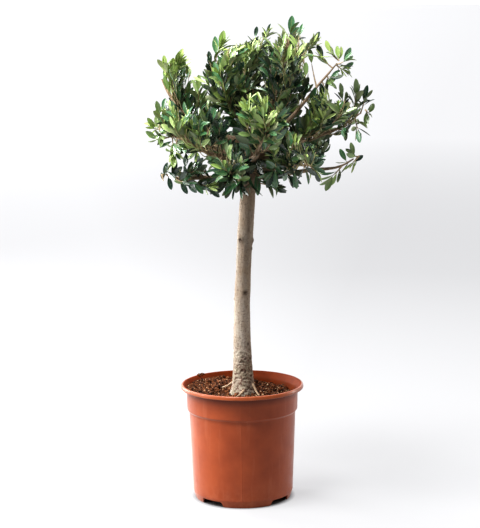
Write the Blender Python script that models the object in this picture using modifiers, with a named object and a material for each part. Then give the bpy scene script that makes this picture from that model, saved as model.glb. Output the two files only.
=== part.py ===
"""A young olive tree grown as a standard: one bare stem with a round, open head, in a plastic nursery pot.

Metres, +Z up. The origin is the middle of the pot's underside. The front is -Y, and +X is to the right of
someone who faces it. Bearings are in degrees round the stem, from +X towards the back.
"""

import math
import random

import bmesh
import bpy
from mathutils import Matrix, Vector, noise
from mathutils.geometry import intersect_point_line, intersect_ray_tri

GAP = 0.0003
SEED = 11

# Pot
POT_HEIGHT = 0.1785
RIM_RADIUS = 0.0950
LIP_WIDTH = 0.0062
LIP_DEPTH = 0.0060
COLLAR_RADIUS = 0.0857
STEP_RADIUS = 0.0822
STEP_HEIGHT = 0.1363
HEEL_RADIUS = 0.0775
HEEL_HEIGHT = 0.0115
FOOT_RADIUS = 0.0738
POT_WALL = 0.0020
FLOOR_RISE = 0.0080
PAD_RADIUS = 0.0300
POT_SIDES = 44
NOTCH_COUNT = 4
NOTCH_FIRST_BEARING = 230.0
NOTCH_WIDTH = 0.0400
NOTCH_SLANT = 0.0035
NOTCH_HEIGHT = 0.0088

# Soil
SOIL_LEVEL = 0.1622
SOIL_SIDES = 22
SOIL_BANK = 0.0110
SOIL_DROP = 0.0060
SOIL_LUMP = 0.0022
SOIL_FLAT_RADIUS = 0.0300

# Trunk
TRUNK_FOOT = SOIL_LEVEL + GAP
TRUNK_TIP = 0.5810
TRUNK_LEAN = 0.0238
TRUNK_SET_BACK = 0.00145
TRUNK_FOOT_SHIFT = 0.0028
TRUNK_RADIUS = 0.0112
TRUNK_BUTT = 0.0062
TRUNK_SWELLING = 0.0008
TRUNK_END_RADIUS = 0.0055
TRUNK_SIDES = 12
TRUNK_RING_STEP = 0.0125
FLARE_REACH = 0.0068
FLARE_FADE = 0.0120
FLARE_LOBES = 5

# Knots on the trunk: bearing, height, bulge
KNOTS = (
    (236.0, 0.4040, 0.0028),
    (344.0, 0.4010, 0.0026),
    (300.0, 0.2260, 0.0016),
    (289.0, 0.3225, 0.0016),
)
KNOT_SPREAD = 0.0075

# Limbs: name, height on the trunk, bearing, reach of the tip from the head's axis, height of the tip,
# how far it spreads before it rises (0 to 1), share of its length that is bare bough (0 for a shoot that
# starts on the trunk)
HEAD_AXIS = 0.0115
LIMBS = (
    ("lower_left", 0.4980, 187.0, 0.132, 0.509, 0.95, 0.32),
    ("front_low", 0.5010, 255.0, 0.138, 0.524, 0.60, 0.30),
    ("front_right", 0.5130, 312.0, 0.162, 0.534, 0.60, 0.34),
    ("lower_right", 0.5010, 352.0, 0.177, 0.535, 0.75, 0.38),
    ("back_right", 0.5010, 48.0, 0.164, 0.536, 0.60, 0.34),
    ("back_low", 0.5050, 112.0, 0.144, 0.524, 0.60, 0.30),
    ("far_left", 0.5310, 172.0, 0.156, 0.588, 0.60, 0.34),
    ("front_left", 0.5190, 226.0, 0.156, 0.582, 0.60, 0.34),
    ("front", 0.5240, 280.0, 0.164, 0.596, 0.60, 0.34),
    ("front_outer_right", 0.5360, 326.0, 0.180, 0.612, 0.60, 0.38),
    ("right", 0.5260, 8.0, 0.201, 0.606, 0.55, 0.40),
    ("back", 0.5160, 72.0, 0.170, 0.600, 0.60, 0.34),
    ("back_left", 0.5250, 130.0, 0.160, 0.582, 0.60, 0.34),
    ("upper_left", 0.5520, 181.0, 0.138, 0.682, 0.80, 0.38),
    ("front_top", 0.5430, 248.0, 0.118, 0.684, 0.55, 0.34),
    ("front_upper_right", 0.5550, 303.0, 0.142, 0.678, 0.55, 0.34),
    ("upper_right", 0.5450, 351.0, 0.158, 0.696, 0.50, 0.38),
    ("back_upper_right", 0.5570, 42.0, 0.146, 0.680, 0.55, 0.34),
    ("back_top", 0.5450, 100.0, 0.120, 0.686, 0.55, 0.34),
    ("top_left", 0.5630, 200.0, 0.076, 0.720, 0.60, 0.38),
    ("top_right", 0.5650, 350.0, 0.071, 0.7455, 0.60, 0.40),
    ("heart", 0.5810, 100.0, 0.026, 0.676, 0.30, 0.00),
    ("top_front", 0.5680, 266.0, 0.062, 0.726, 0.60, 0.40),
    ("top_back", 0.5610, 85.0, 0.064, 0.724, 0.60, 0.40),
)
BOUGH_STEPS = 6
STEM_STEPS = 4
LIMB_SWAY = 0.0030
BOUGH_RADIUS = 0.0042
BOUGH_TIP_RADIUS = 0.0026
STEM_RADIUS = 0.0022
STEM_TIP_RADIUS = 0.0011
TWIG_RADIUS = 0.0012
TWIG_TIP_RADIUS = 0.0008

# Foliage
HEAD_MIDDLE = 0.032
HEAD_RADIUS = 0.176
HEAD_FLOOR = 0.4660
HEAD_TOP = 0.7430
ROOM_RADIUS = 0.070
LEAVES_PER_MASS = 18
TWIGS_PER_MASS = 6
TWIG_LENGTH = 0.042
TWIG_ANGLE = 56.0
LEAF_LENGTH = 0.050
LEAF_WIDTH = 0.0215
LEAF_THICKNESS = 0.0010
LEAF_ANGLE = 48.0
LEAF_SPACING = 0.0075
CELL_MARGIN = 0.0006
LIMB_MARGIN = 0.0007
GOLDEN_ANGLE = 137.5


# Small tools

def clear_scene():
    for obj in list(bpy.data.objects):
        bpy.data.objects.remove(obj)


def new_collection(name, parent):
    group = bpy.data.collections.new(name)
    parent.children.link(group)
    return group


def new_object(name, mesh, group):
    obj = bpy.data.objects.new(name, mesh)
    group.objects.link(obj)
    return obj


def plain_material(name, colour, roughness):
    material = bpy.data.materials.new(name)
    material.use_nodes = True
    shader = material.node_tree.nodes["Principled BSDF"]
    shader.inputs["Base Color"].default_value = (*colour, 1.0)
    shader.inputs["Roughness"].default_value = roughness
    shader.inputs["Metallic"].default_value = 0.0
    return material


def as_mesh(obj, group):
    """The object's evaluated shape as a plain mesh object of the same name and place."""
    bpy.context.view_layer.update()
    graph = bpy.context.evaluated_depsgraph_get()
    mesh = bpy.data.meshes.new_from_object(obj.evaluated_get(graph))
    name = obj.name
    place = obj.matrix_world.copy()
    bpy.data.objects.remove(obj)
    plain = new_object(name, mesh, group)
    plain.matrix_world = place
    return plain


def weld(mesh, distance):
    shape = bmesh.new()
    shape.from_mesh(mesh)
    bmesh.ops.remove_doubles(shape, verts=shape.verts, dist=distance)
    bmesh.ops.recalc_face_normals(shape, faces=shape.faces)
    shape.to_mesh(mesh)
    shape.free()


def smooth(mesh, angle):
    mesh.shade_smooth()
    mesh.set_sharp_from_angle(angle=math.radians(angle))


def turned(name, profile, sides, group):
    """An object whose profile of (radius, height) points, with both ends on the axis, is turned about Z."""
    mesh = bpy.data.meshes.new(name)
    points = [(radius, 0.0, height) for radius, height in profile]
    edges = [(i, i + 1) for i in range(len(points) - 1)]
    mesh.from_pydata(points, edges, [])
    obj = new_object(name, mesh, group)
    screw = obj.modifiers.new("turn", "SCREW")
    screw.axis = "Z"
    screw.steps = sides
    screw.render_steps = sides
    screw.use_merge_vertices = True
    screw.merge_threshold = 0.00001
    return obj


def bearing_vector(bearing):
    angle = math.radians(bearing)
    return Vector((math.cos(angle), math.sin(angle), 0.0))


def blend(low, high, value):
    """0 below low, 1 above high, and an even S between them."""
    share = min(1.0, max(0.0, (value - low) / (high - low)))
    return share * share * (3.0 - 2.0 * share)


# Pot

def inner_wall():
    """Radius and height up the inside of the pot, from the middle of its floor to the crest of its rim."""
    return [
        (0.0, POT_WALL),
        (PAD_RADIUS - POT_WALL, POT_WALL),
        (PAD_RADIUS, FLOOR_RISE + POT_WALL),
        (HEEL_RADIUS - 2.2 * POT_WALL, FLOOR_RISE + POT_WALL),
        (HEEL_RADIUS - POT_WALL, HEEL_HEIGHT + 0.004),
        (STEP_RADIUS - POT_WALL, STEP_HEIGHT + 0.002),
        (COLLAR_RADIUS - POT_WALL, STEP_HEIGHT + 0.006),
        (COLLAR_RADIUS - POT_WALL, POT_HEIGHT - LIP_DEPTH - 0.004),
        (RIM_RADIUS - LIP_WIDTH, POT_HEIGHT - 0.0020),
    ]


def pot_profile():
    """The inside from the floor up, then over the lip and down the outside to the underside's middle."""
    lip = [
        (RIM_RADIUS - 0.8 * LIP_WIDTH, POT_HEIGHT - 0.0004),
        (RIM_RADIUS - 0.5 * LIP_WIDTH, POT_HEIGHT),
        (RIM_RADIUS - 0.16 * LIP_WIDTH, POT_HEIGHT - 0.0009),
        (RIM_RADIUS, POT_HEIGHT - 0.0026),
        (RIM_RADIUS - 0.0004, POT_HEIGHT - LIP_DEPTH + 0.0006),
        (RIM_RADIUS - 0.0016, POT_HEIGHT - LIP_DEPTH),
        (COLLAR_RADIUS + 0.0012, POT_HEIGHT - LIP_DEPTH - 0.0010),
    ]
    outside = [
        (COLLAR_RADIUS, POT_HEIGHT - LIP_DEPTH - 0.0030),
        (COLLAR_RADIUS - 0.0003, STEP_HEIGHT + 0.0034),
        (STEP_RADIUS, STEP_HEIGHT),
        (HEEL_RADIUS, HEEL_HEIGHT),
        (FOOT_RADIUS, 0.0),
    ]
    underside = [
        (FOOT_RADIUS - POT_WALL, 0.0),
        (FOOT_RADIUS - POT_WALL, FLOOR_RISE),
        (PAD_RADIUS + POT_WALL, FLOOR_RISE),
        (PAD_RADIUS, 0.0),
        (0.0, 0.0),
    ]
    return inner_wall() + lip + outside + underside


def notch_cutter(number, group):
    """One drain notch's block: as wide as the gap in the foot, narrower at the top."""
    shape = bmesh.new()
    bmesh.ops.create_cube(shape, size=1.0)
    for vert in shape.verts:
        vert.co.x *= 0.024
        vert.co.y *= NOTCH_WIDTH - (NOTCH_SLANT if vert.co.z > 0.0 else -NOTCH_SLANT)
        vert.co.z = NOTCH_HEIGHT if vert.co.z > 0.0 else -0.004
    mesh = bpy.data.meshes.new(f"drain_notch_{number}")
    shape.to_mesh(mesh)
    shape.free()
    cutter = new_object(mesh.name, mesh, group)
    bearing = NOTCH_FIRST_BEARING + number * 360.0 / NOTCH_COUNT
    cutter.location = bearing_vector(bearing) * (FOOT_RADIUS + 0.0010)
    cutter.rotation_euler = (0.0, 0.0, math.radians(bearing))
    cutter.hide_render = True
    cutter.display_type = "WIRE"
    return cutter


def build_pot(group, cutters):
    pot = turned("pot", pot_profile(), POT_SIDES, group)
    notches = new_collection("drain_notches", cutters)
    for number in range(NOTCH_COUNT):
        notch_cutter(number, notches)
    cut = pot.modifiers.new("drain_notches", "BOOLEAN")
    cut.operation = "DIFFERENCE"
    cut.operand_type = "COLLECTION"
    cut.collection = notches
    cut.solver = "EXACT"
    pot.data.materials.append(plain_material("pot_plastic", (0.44, 0.125, 0.060), 0.42))
    pot = as_mesh(pot, group)
    smooth(pot.data, 32.0)
    return pot


# Soil

def soil_height(x, y):
    """The ground: banked up at the back left, low at the right, lumpy, and level round the stem."""
    tilt = (-0.85 * x + 0.50 * y) / COLLAR_RADIUS
    bank = tilt * (SOIL_BANK if tilt > 0.0 else SOIL_DROP)
    lumps = SOIL_LUMP * noise.noise(Vector((62.0 * x, 62.0 * y, 4.0)))
    away = blend(SOIL_FLAT_RADIUS, SOIL_FLAT_RADIUS + 0.018, math.hypot(x, y))
    return SOIL_LEVEL + away * (bank + lumps)


def wall_radius_at(height):
    """The inner wall's radius at a height in the pot."""
    points = inner_wall()[3:]
    for (low_radius, low), (high_radius, high) in zip(points, points[1:]):
        if low <= height <= high and high > low:
            return low_radius + (high_radius - low_radius) * (height - low) / (high - low)
    return points[-1][0]


def soil_profile():
    below = [(max(radius - GAP, 0.0), height + GAP) for radius, height in inner_wall()[:7]]
    edge = wall_radius_at(SOIL_LEVEL) - 1.5 * GAP
    rings = [edge, 0.076, 0.067, 0.058, 0.049, 0.040, SOIL_FLAT_RADIUS]
    top = [(radius, SOIL_LEVEL) for radius in rings]
    return below + top + [(0.0, SOIL_LEVEL)]


def build_soil(group):
    soil = turned("soil", list(reversed(soil_profile())), SOIL_SIDES, group)
    soil = as_mesh(soil, group)
    for vert in soil.data.vertices:
        if vert.co.z > SOIL_LEVEL - 0.0001:
            vert.co.z = soil_height(vert.co.x, vert.co.y)
    soil.data.materials.append(plain_material("potting_soil", (0.060, 0.028, 0.014), 0.95))
    smooth(soil.data, 50.0)
    return soil


# Trunk

def trunk_share(height):
    return (height - TRUNK_FOOT) / (TRUNK_TIP - TRUNK_FOOT)


def trunk_centre(height):
    """The stem stands upright on its foot and then leans more and more to the right."""
    share = trunk_share(height)
    lean = TRUNK_LEAN * share * share - TRUNK_SET_BACK
    foot = TRUNK_FOOT_SHIFT * (1.0 - blend(0.0, 0.36, share))
    return Vector((lean + foot, 0.0015 * math.sin(4.2 * share), height))


def trunk_radius(height):
    """The stem's girth: a butt that fades upward, a swelling under the head, and a taper through it."""
    share = trunk_share(height)
    butt = TRUNK_BUTT * math.exp(-share / 0.20)
    swelling = TRUNK_SWELLING * math.exp(-(((share - 0.63) / 0.08) ** 2))
    girth = TRUNK_RADIUS + butt + swelling
    return girth + (TRUNK_END_RADIUS - girth) * blend(0.76, 1.0, share)


def trunk_surface(height, bearing):
    """Distance from the stem's middle to its bark, with the root flare's lobes and the knots."""
    rise = height - TRUNK_FOOT
    lobe = 0.55 + 0.45 * math.cos(math.radians(FLARE_LOBES * (bearing - 205.0)))
    radius = trunk_radius(height) + FLARE_REACH * lobe * math.exp(-rise / FLARE_FADE)
    for knot_bearing, knot_height, bulge in KNOTS:
        turn = math.radians((bearing - knot_bearing + 180.0) % 360.0 - 180.0)
        away = math.hypot(turn * radius, height - knot_height)
        radius += bulge * math.exp(-((away / KNOT_SPREAD) ** 2))
    return radius


def trunk_mesh(name, grow):
    """The stem as rings joined by faces, each point moved out by grow."""
    steps = math.ceil((TRUNK_TIP - TRUNK_FOOT) / TRUNK_RING_STEP)
    shape = bmesh.new()
    rings = []
    for step in range(steps + 1):
        height = TRUNK_FOOT + (TRUNK_TIP - TRUNK_FOOT) * step / steps
        ring = []
        for side in range(TRUNK_SIDES):
            bearing = 360.0 * side / TRUNK_SIDES
            out = bearing_vector(bearing) * (trunk_surface(height, bearing) + grow)
            ring.append(shape.verts.new(trunk_centre(height) + out))
        rings.append(ring)
    for low, high in zip(rings, rings[1:]):
        for side in range(TRUNK_SIDES):
            after = (side + 1) % TRUNK_SIDES
            shape.faces.new((low[side], low[after], high[after], high[side]))
    shape.faces.new(list(reversed(rings[0])))
    shape.faces.new(rings[-1])
    for vert in rings[-1]:
        vert.co.z += grow
    mesh = bpy.data.meshes.new(name)
    shape.to_mesh(mesh)
    shape.free()
    return mesh


def build_trunk(group):
    trunk = new_object("trunk", trunk_mesh("trunk", 0.0), group)
    trunk.data.materials.append(plain_material("trunk_bark", (0.30, 0.235, 0.165), 0.85))
    smooth(trunk.data, 45.0)
    return trunk


# Limbs

def curve_point(ends, share):
    """A point on the smooth curve that four guide points give."""
    first, second, third, last = ends
    left = 1.0 - share
    return (
        first * left**3
        + second * (3.0 * left * left * share)
        + third * (3.0 * left * share * share)
        + last * share**3
    )


class Limb:
    """One limb: a line from the middle of the trunk to the tip of its last leaf."""

    def __init__(self, number, row):
        self.name, self.join, self.bearing, self.reach, self.tip_height, self.spread, self.bare = row
        self.number = number
        start = trunk_centre(self.join)
        out = bearing_vector(self.bearing)
        tip = Vector((HEAD_AXIS, start.y, self.tip_height)) + out * self.reach
        rise = Vector((0.0, 0.0, self.tip_height - self.join))
        near = start + out * self.reach * self.spread + rise * 0.6 * (1.0 - self.spread)
        far = tip - (out * self.reach * (1.0 - self.spread) + rise * self.spread) * 0.5
        self.guides = (start, near, far, tip)
        if self.bare:
            self.stem_from = self.bare
        else:
            self.stem_from = self.share_outside_trunk()
        length = (tip - start).length
        self.stem_to = 1.0 - 0.80 * LEAF_LENGTH / length
        self.centre = tip - (tip - far).normalized() * ROOM_RADIUS * 0.92

    def point(self, share):
        """The limb's middle line with a gentle sway across it."""
        base = curve_point(self.guides, share)
        phase = 1.7 * self.number
        ease = blend(0.05, 0.35, share)
        across = Vector((-math.sin(math.radians(self.bearing)), math.cos(math.radians(self.bearing)), 0.0))
        lift = Vector((0.0, 0.0, 0.6))
        sway = across * math.sin(9.0 * share + phase) + lift * math.sin(11.0 * share + phase)
        return base + sway * LIMB_SWAY * ease

    def direction(self, share):
        return (self.point(share + 0.01) - self.point(share - 0.01)).normalized()

    def share_outside_trunk(self):
        """Where a shoot that starts on the trunk is just clear of it."""
        share = 0.0
        while share < 0.5:
            spot = self.point(share)
            height = min(spot.z, TRUNK_TIP)
            aside = spot - trunk_centre(height)
            wanted = trunk_surface(height, self.bearing) + GAP
            if spot.z > TRUNK_TIP + 2.0 * GAP or math.hypot(aside.x, aside.y) > wanted:
                return share
            share += 0.001
        return share

    def tapering(self, first, last, steps, thick, thin):
        """Points along the limb from one share of it to another, with a radius that falls evenly."""
        points = []
        for step in range(steps + 1):
            part = step / steps
            points.append((self.point(first + (last - first) * part), thick + (thin - thick) * part))
        return points

    def bough_points(self):
        """The bare bough, from the middle of the trunk; the longer its reach, the thicker it is."""
        thick = BOUGH_RADIUS * (0.80 + 1.6 * self.reach)
        return self.tapering(0.0, self.bare, BOUGH_STEPS, thick, BOUGH_TIP_RADIUS)

    def stem_points(self):
        """The leafy stem, from 0.3 mm past the bough's end to the foot of the tip leaf."""
        length = (self.guides[3] - self.guides[0]).length
        first = self.stem_from + (1.6 * GAP / length if self.bare else 0.0)
        return self.tapering(first, self.stem_to, STEM_STEPS, STEM_RADIUS, STEM_TIP_RADIUS)


def build_bough(limb, material, trunk_cutter, group):
    """A tapering limb whose inner end is cut to the trunk's bark, 0.3 mm clear."""
    points = limb.bough_points()
    curve = bpy.data.curves.new(f"bough_{limb.name}", "CURVE")
    curve.dimensions = "3D"
    curve.bevel_depth = 1.0
    curve.bevel_resolution = 1
    curve.use_fill_caps = True
    line = curve.splines.new("POLY")
    line.points.add(len(points) - 1)
    for spot, (place, radius) in zip(line.points, points):
        spot.co = (*place, 1.0)
        spot.radius = radius
    bough = new_object(curve.name, curve, group)
    bough = as_mesh(bough, group)
    weld(bough.data, 0.00001)
    cut = bough.modifiers.new("trunk", "BOOLEAN")
    cut.operation = "DIFFERENCE"
    cut.object = trunk_cutter
    cut.solver = "EXACT"
    bough = as_mesh(bough, group)
    bough.data.materials.clear()
    bough.data.materials.append(material)
    smooth(bough.data, 50.0)
    return bough


# Foliage

def frame_along(direction):
    """Two directions across this one: one level, one as upright as it can be."""
    level = direction.cross(Vector((0.0, 0.0, 1.0)))
    if level.length < 0.05:
        level = Vector((1.0, 0.0, 0.0))
    level.normalize()
    return level, level.cross(direction).normalized()


def leaning(direction, angle, turn):
    """The direction leaned away by an angle, towards a side picked by a turn round it, in degrees."""
    level, upright = frame_along(direction)
    side = level * math.cos(math.radians(turn)) + upright * math.sin(math.radians(turn))
    return (direction * math.cos(math.radians(angle)) + side * math.sin(math.radians(angle))).normalized()


class Space:
    """The room that one mass may fill: nearer its own middle than any other's, and clear of every limb."""

    def __init__(self, limb, limbs):
        self.centre = limb.centre
        self.others = [other.centre for other in limbs if other is not limb]
        self.bars = trunk_bars()
        for other in limbs:
            if other.bare:
                self.bars += bars_of(other.bough_points())
            if other is not limb:
                self.bars += bars_of(other.stem_points())

    def holds(self, spot):
        if (spot - self.centre).length > ROOM_RADIUS or not HEAD_FLOOR < spot.z < HEAD_TOP:
            return False
        if math.hypot(spot.x - HEAD_MIDDLE, spot.y) > HEAD_RADIUS:
            return False
        for other in self.others:
            apart = other - self.centre
            beyond = (spot - self.centre).dot(apart) / apart.length
            if beyond > 0.5 * apart.length - CELL_MARGIN:
                return False
        return True

    def clear(self, spot, radius):
        for start, end, thickness in self.bars:
            nearest, share = intersect_point_line(spot, start, end)
            nearest = start if share < 0.0 else end if share > 1.0 else nearest
            if (nearest - spot).length < thickness + radius + LIMB_MARGIN:
                return False
        return True

    def takes(self, spot, radius):
        return self.holds(spot) and self.clear(spot, radius)


def bars_of(points):
    return [(a[0], b[0], max(a[1], b[1])) for a, b in zip(points, points[1:])]


def trunk_bars():
    heights = [0.46 + (TRUNK_TIP - 0.46) * step / 8 for step in range(9)]
    return bars_of([(trunk_centre(height), trunk_radius(height) + 0.0008) for height in heights])


class Leaf:
    """A flat, pointed, six-cornered blade that stands on a twig."""

    def __init__(self, root, direction, size, turn):
        self.root = root
        self.direction = direction
        self.length = LEAF_LENGTH * size
        self.width = LEAF_WIDTH * size
        level, upright = frame_along(direction)
        angle = math.radians(turn)
        self.side = (level * math.cos(angle) + upright * math.sin(angle)).normalized()
        self.face = self.side.cross(direction).normalized()
        self.tip = root + direction * self.length
        self.middle = root + direction * self.length * 0.55

    def corners(self):
        half = self.side * self.width * 0.5
        return (self.middle + half, self.middle - half, self.tip)

    def edges(self):
        left, right, tip = self.corners()
        return ((self.root, left), (left, tip), (self.root, right), (right, tip))

    def crosses(self, other):
        """True where an edge of this leaf passes through the other's blade."""
        left, right, tip = other.corners()
        for start, end in self.edges():
            along = end - start
            for third in (other.root, tip):
                hit = intersect_ray_tri(left, right, third, along, start, True)
                if hit and 0.001 < (hit - start).length < along.length and (hit - start).dot(along) > 0.0:
                    return True
        return False

    def fits(self, space, taken):
        for other in taken:
            if (other.middle - self.middle).length < LEAF_SPACING:
                return False
            if self.crosses(other) or other.crosses(self):
                return False
        if not all(space.holds(corner) for corner in self.corners()):
            return False
        for step in range(2, 11):
            share = step / 10
            half = self.width * 0.5 * min(share / 0.55, (1.0 - share) / 0.45)
            if not space.clear(self.root + self.direction * self.length * share, half):
                return False
        return True

    def matrix(self):
        turn = Matrix((self.direction, self.side, self.face)).transposed().to_4x4()
        size = Matrix.Diagonal((self.length, self.width, LEAF_THICKNESS, 1.0))
        return Matrix.Translation(self.root) @ turn @ size


def leaf_mesh():
    """A leaf of unit length, width and thickness, root at the origin: a ball of four sides, drawn out."""
    shape = bmesh.new()
    bmesh.ops.create_uvsphere(shape, u_segments=4, v_segments=2, radius=0.5)
    for vert in shape.verts:
        along = vert.co.x + 0.5
        vert.co.x = 0.55 if 0.1 < along < 0.9 else along
    mesh = bpy.data.meshes.new("leaf")
    shape.to_mesh(mesh)
    shape.free()
    return mesh


def tube_mesh(name, points, sides):
    """A twig: rings of a few sides along its points, closed at both ends."""
    shape = bmesh.new()
    rings = []
    for number, (place, radius) in enumerate(points):
        before = points[max(0, number - 1)][0]
        after = points[min(len(points) - 1, number + 1)][0]
        level, upright = frame_along((after - before).normalized())
        ring = []
        for side in range(sides):
            angle = 2.0 * math.pi * side / sides
            offset = (level * math.cos(angle) + upright * math.sin(angle)) * radius
            ring.append(shape.verts.new(place + offset))
        rings.append(ring)
    for low, high in zip(rings, rings[1:]):
        for side in range(sides):
            after = (side + 1) % sides
            shape.faces.new((low[side], low[after], high[after], high[side]))
    shape.faces.new(list(reversed(rings[0])))
    shape.faces.new(rings[-1])
    bmesh.ops.recalc_face_normals(shape, faces=shape.faces)
    mesh = bpy.data.meshes.new(name)
    shape.to_mesh(mesh)
    shape.free()
    return mesh


def twig_fits(points, space):
    (start, radius), (end, _) = points
    for step in range(1, 9):
        if not space.takes(start.lerp(end, step / 8), radius + 0.0004):
            return False
    return True


def grow_twigs(limb, space, chance):
    """Side twigs round the stem, each turned by the golden angle; one that doesn't fit is shortened."""
    twigs = []
    turn = chance.uniform(0.0, 360.0)
    for number in range(TWIGS_PER_MASS):
        part = (number + 0.5) / (TWIGS_PER_MASS + 0.3)
        share = limb.stem_from + (limb.stem_to - limb.stem_from) * part
        for attempt in range(8):
            turn += GOLDEN_ANGLE
            direction = leaning(limb.direction(share), TWIG_ANGLE + chance.uniform(-10.0, 10.0), turn)
            length = TWIG_LENGTH * chance.uniform(0.85, 1.15) * (1.0 - 0.35 * part) * (1.0 - 0.09 * attempt)
            root = limb.point(share)
            points = [(root, TWIG_RADIUS), (root + direction * length, TWIG_TIP_RADIUS)]
            if twig_fits(points, space):
                twigs.append(points)
                break
    return twigs


def grow_leaves(points, places, space, taken, chance):
    """Leaves in pairs, each pair on two of the twig's three sides and one side on from the last."""
    root, end = points[0][0], points[1][0]
    direction = (end - root).normalized()
    for place in places:
        first = round(place * 3.0)
        for side in (first, first + 1):
            for attempt in range(9):
                angle = LEAF_ANGLE + chance.uniform(-20.0, 20.0)
                lean = leaning(direction, angle, 60.0 + 120.0 * side + chance.uniform(-20.0, 20.0))
                size = chance.uniform(0.95, 1.08) - 0.03 * attempt
                leaf = Leaf(root.lerp(end, place), lean, size, chance.uniform(-90.0, 90.0))
                if leaf.fits(space, taken):
                    taken.append(leaf)
                    break


def grow_tip_leaf(points, space, taken, chance):
    root, end = points[0][0], points[1][0]
    direction = (end - root).normalized()
    leaf = Leaf(end - direction * 0.0012, direction, chance.uniform(0.9, 1.0), chance.uniform(-60.0, 60.0))
    if leaf.fits(space, taken):
        taken.append(leaf)


def keep_largest_island(mesh):
    """Drops loose scraps, and fills any hollow that the union sealed, by keeping the largest surface."""
    shape = bmesh.new()
    shape.from_mesh(mesh)
    unseen = set(shape.verts)
    islands = []
    while unseen:
        island = [unseen.pop()]
        for vert in island:
            for edge in vert.link_edges:
                other = edge.other_vert(vert)
                if other in unseen:
                    unseen.remove(other)
                    island.append(other)
        islands.append(island)
    islands.sort(key=len, reverse=True)
    for island in islands[1:]:
        bmesh.ops.delete(shape, geom=island, context="VERTS")
    shape.to_mesh(mesh)
    shape.free()


def leaves_of(limb, twigs, space, chance):
    """The mass's leaves: the stem's tip first, then the ends of its twigs, and last the twigs' feet."""
    taken = []
    lines = [limb.stem_points()[-2:]] + twigs
    for points in lines:
        grow_tip_leaf(points, space, taken, chance)
    for places in ((0.85,), (0.50,), (0.20,)):
        for points in lines:
            grow_leaves(points, places, space, taken, chance)
    return taken[:LEAVES_PER_MASS]


def build_mass(limb, limbs, leaf_shape, material, group):
    """One mass of foliage: a stem, its side twigs and their leaves, joined into one solid."""
    chance = random.Random(SEED * 1000 + limb.number)
    space = Space(limb, limbs)
    twigs = grow_twigs(limb, space, chance)
    mass = new_object(f"foliage_{limb.name}", tube_mesh("stem", limb.stem_points(), 3), group)
    pieces = new_collection("pieces", group)
    for points in twigs:
        new_object("twig", tube_mesh("twig", points, 3), pieces)
    for leaf in leaves_of(limb, twigs, space, chance):
        new_object("leaf", leaf_shape, pieces).matrix_world = leaf.matrix()
    join = mass.modifiers.new("join", "BOOLEAN")
    join.operation = "UNION"
    join.operand_type = "COLLECTION"
    join.collection = pieces
    join.solver = "EXACT"
    mass = as_mesh(mass, group)
    for piece in list(pieces.objects):
        bpy.data.objects.remove(piece)
    bpy.data.collections.remove(pieces)
    keep_largest_island(mass.data)
    mass.data.materials.clear()
    mass.data.materials.append(material)
    return mass


# The whole plant

def build():
    clear_scene()
    plant = new_collection("potted_olive_standard", bpy.context.scene.collection)
    cutters = new_collection("cutters", bpy.context.scene.collection)
    build_pot(plant, cutters)
    build_soil(plant)
    build_trunk(plant)
    trunk_cutter = new_object("trunk_clearance", trunk_mesh("trunk_clearance", GAP), cutters)
    trunk_cutter.hide_render = True
    trunk_cutter.display_type = "WIRE"
    bark = plain_material("bough_bark", (0.235, 0.165, 0.110), 0.80)
    foliage = plain_material("olive_foliage", (0.075, 0.130, 0.060), 0.55)
    leaf_shape = leaf_mesh()
    limbs = [Limb(number, row) for number, row in enumerate(LIMBS)]
    for limb in limbs:
        if limb.bare:
            build_bough(limb, bark, trunk_cutter, plant)
    for limb in limbs:
        build_mass(limb, limbs, leaf_shape, foliage, plant)


build()
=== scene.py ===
"""A young olive tree grown as a standard: one bare stem with a round, open head, in a plastic nursery pot.

Metres, +Z up, the front is -Y and +X is to the right of someone who faces it. Bearings are in degrees
round the stem, from +X towards the back.
"""

import itertools
import math
import random

import bmesh
import bpy
import numpy as np
from mathutils import Matrix, Quaternion, Vector, noise


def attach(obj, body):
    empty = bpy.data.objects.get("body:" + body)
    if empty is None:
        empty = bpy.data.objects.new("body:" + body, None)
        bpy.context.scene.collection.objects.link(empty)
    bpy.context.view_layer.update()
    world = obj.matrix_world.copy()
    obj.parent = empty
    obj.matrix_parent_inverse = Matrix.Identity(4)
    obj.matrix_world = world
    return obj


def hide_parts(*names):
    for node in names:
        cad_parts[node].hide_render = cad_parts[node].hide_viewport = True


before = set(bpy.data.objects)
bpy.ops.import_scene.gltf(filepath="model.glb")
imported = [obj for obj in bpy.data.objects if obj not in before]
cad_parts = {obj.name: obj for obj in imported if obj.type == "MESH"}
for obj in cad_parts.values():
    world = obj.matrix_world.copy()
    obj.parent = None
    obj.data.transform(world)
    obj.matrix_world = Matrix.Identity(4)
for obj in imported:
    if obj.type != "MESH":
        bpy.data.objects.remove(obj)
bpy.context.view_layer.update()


# The camera stands about two and a half metres off, a little above the head of the tree, and looks slightly
# down. It is a long lens, so that the pot's two rims show as nearly the same flat ellipse. Blender fits the
# sensor to the picture's longer side, which is its height.

PICTURE_HEIGHT = 528.0
FOCAL_LENGTH_IN_PICTURE = 1650.0
CAMERA_PLACE = (-0.0015, -2.498, 0.756)
CAMERA_DIP = 8.89
CAMERA_ROLL = -0.56
SENSOR_WIDTH = 36.0
SIGHT_LENGTH = 9000.0

camera = bpy.data.objects.new("camera", bpy.data.cameras.new("camera"))
bpy.context.scene.collection.objects.link(camera)
camera.data.sensor_width = SENSOR_WIDTH
camera.data.lens = SENSOR_WIDTH * FOCAL_LENGTH_IN_PICTURE / PICTURE_HEIGHT
camera.data.clip_end = SIGHT_LENGTH
level_camera = Matrix.Rotation(math.radians(90.0 - CAMERA_DIP), 4, "X")
camera.matrix_world = (
    Matrix.Translation(CAMERA_PLACE) @ level_camera @ Matrix.Rotation(math.radians(CAMERA_ROLL), 4, "Z")
)
bpy.context.scene.camera = camera


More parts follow.
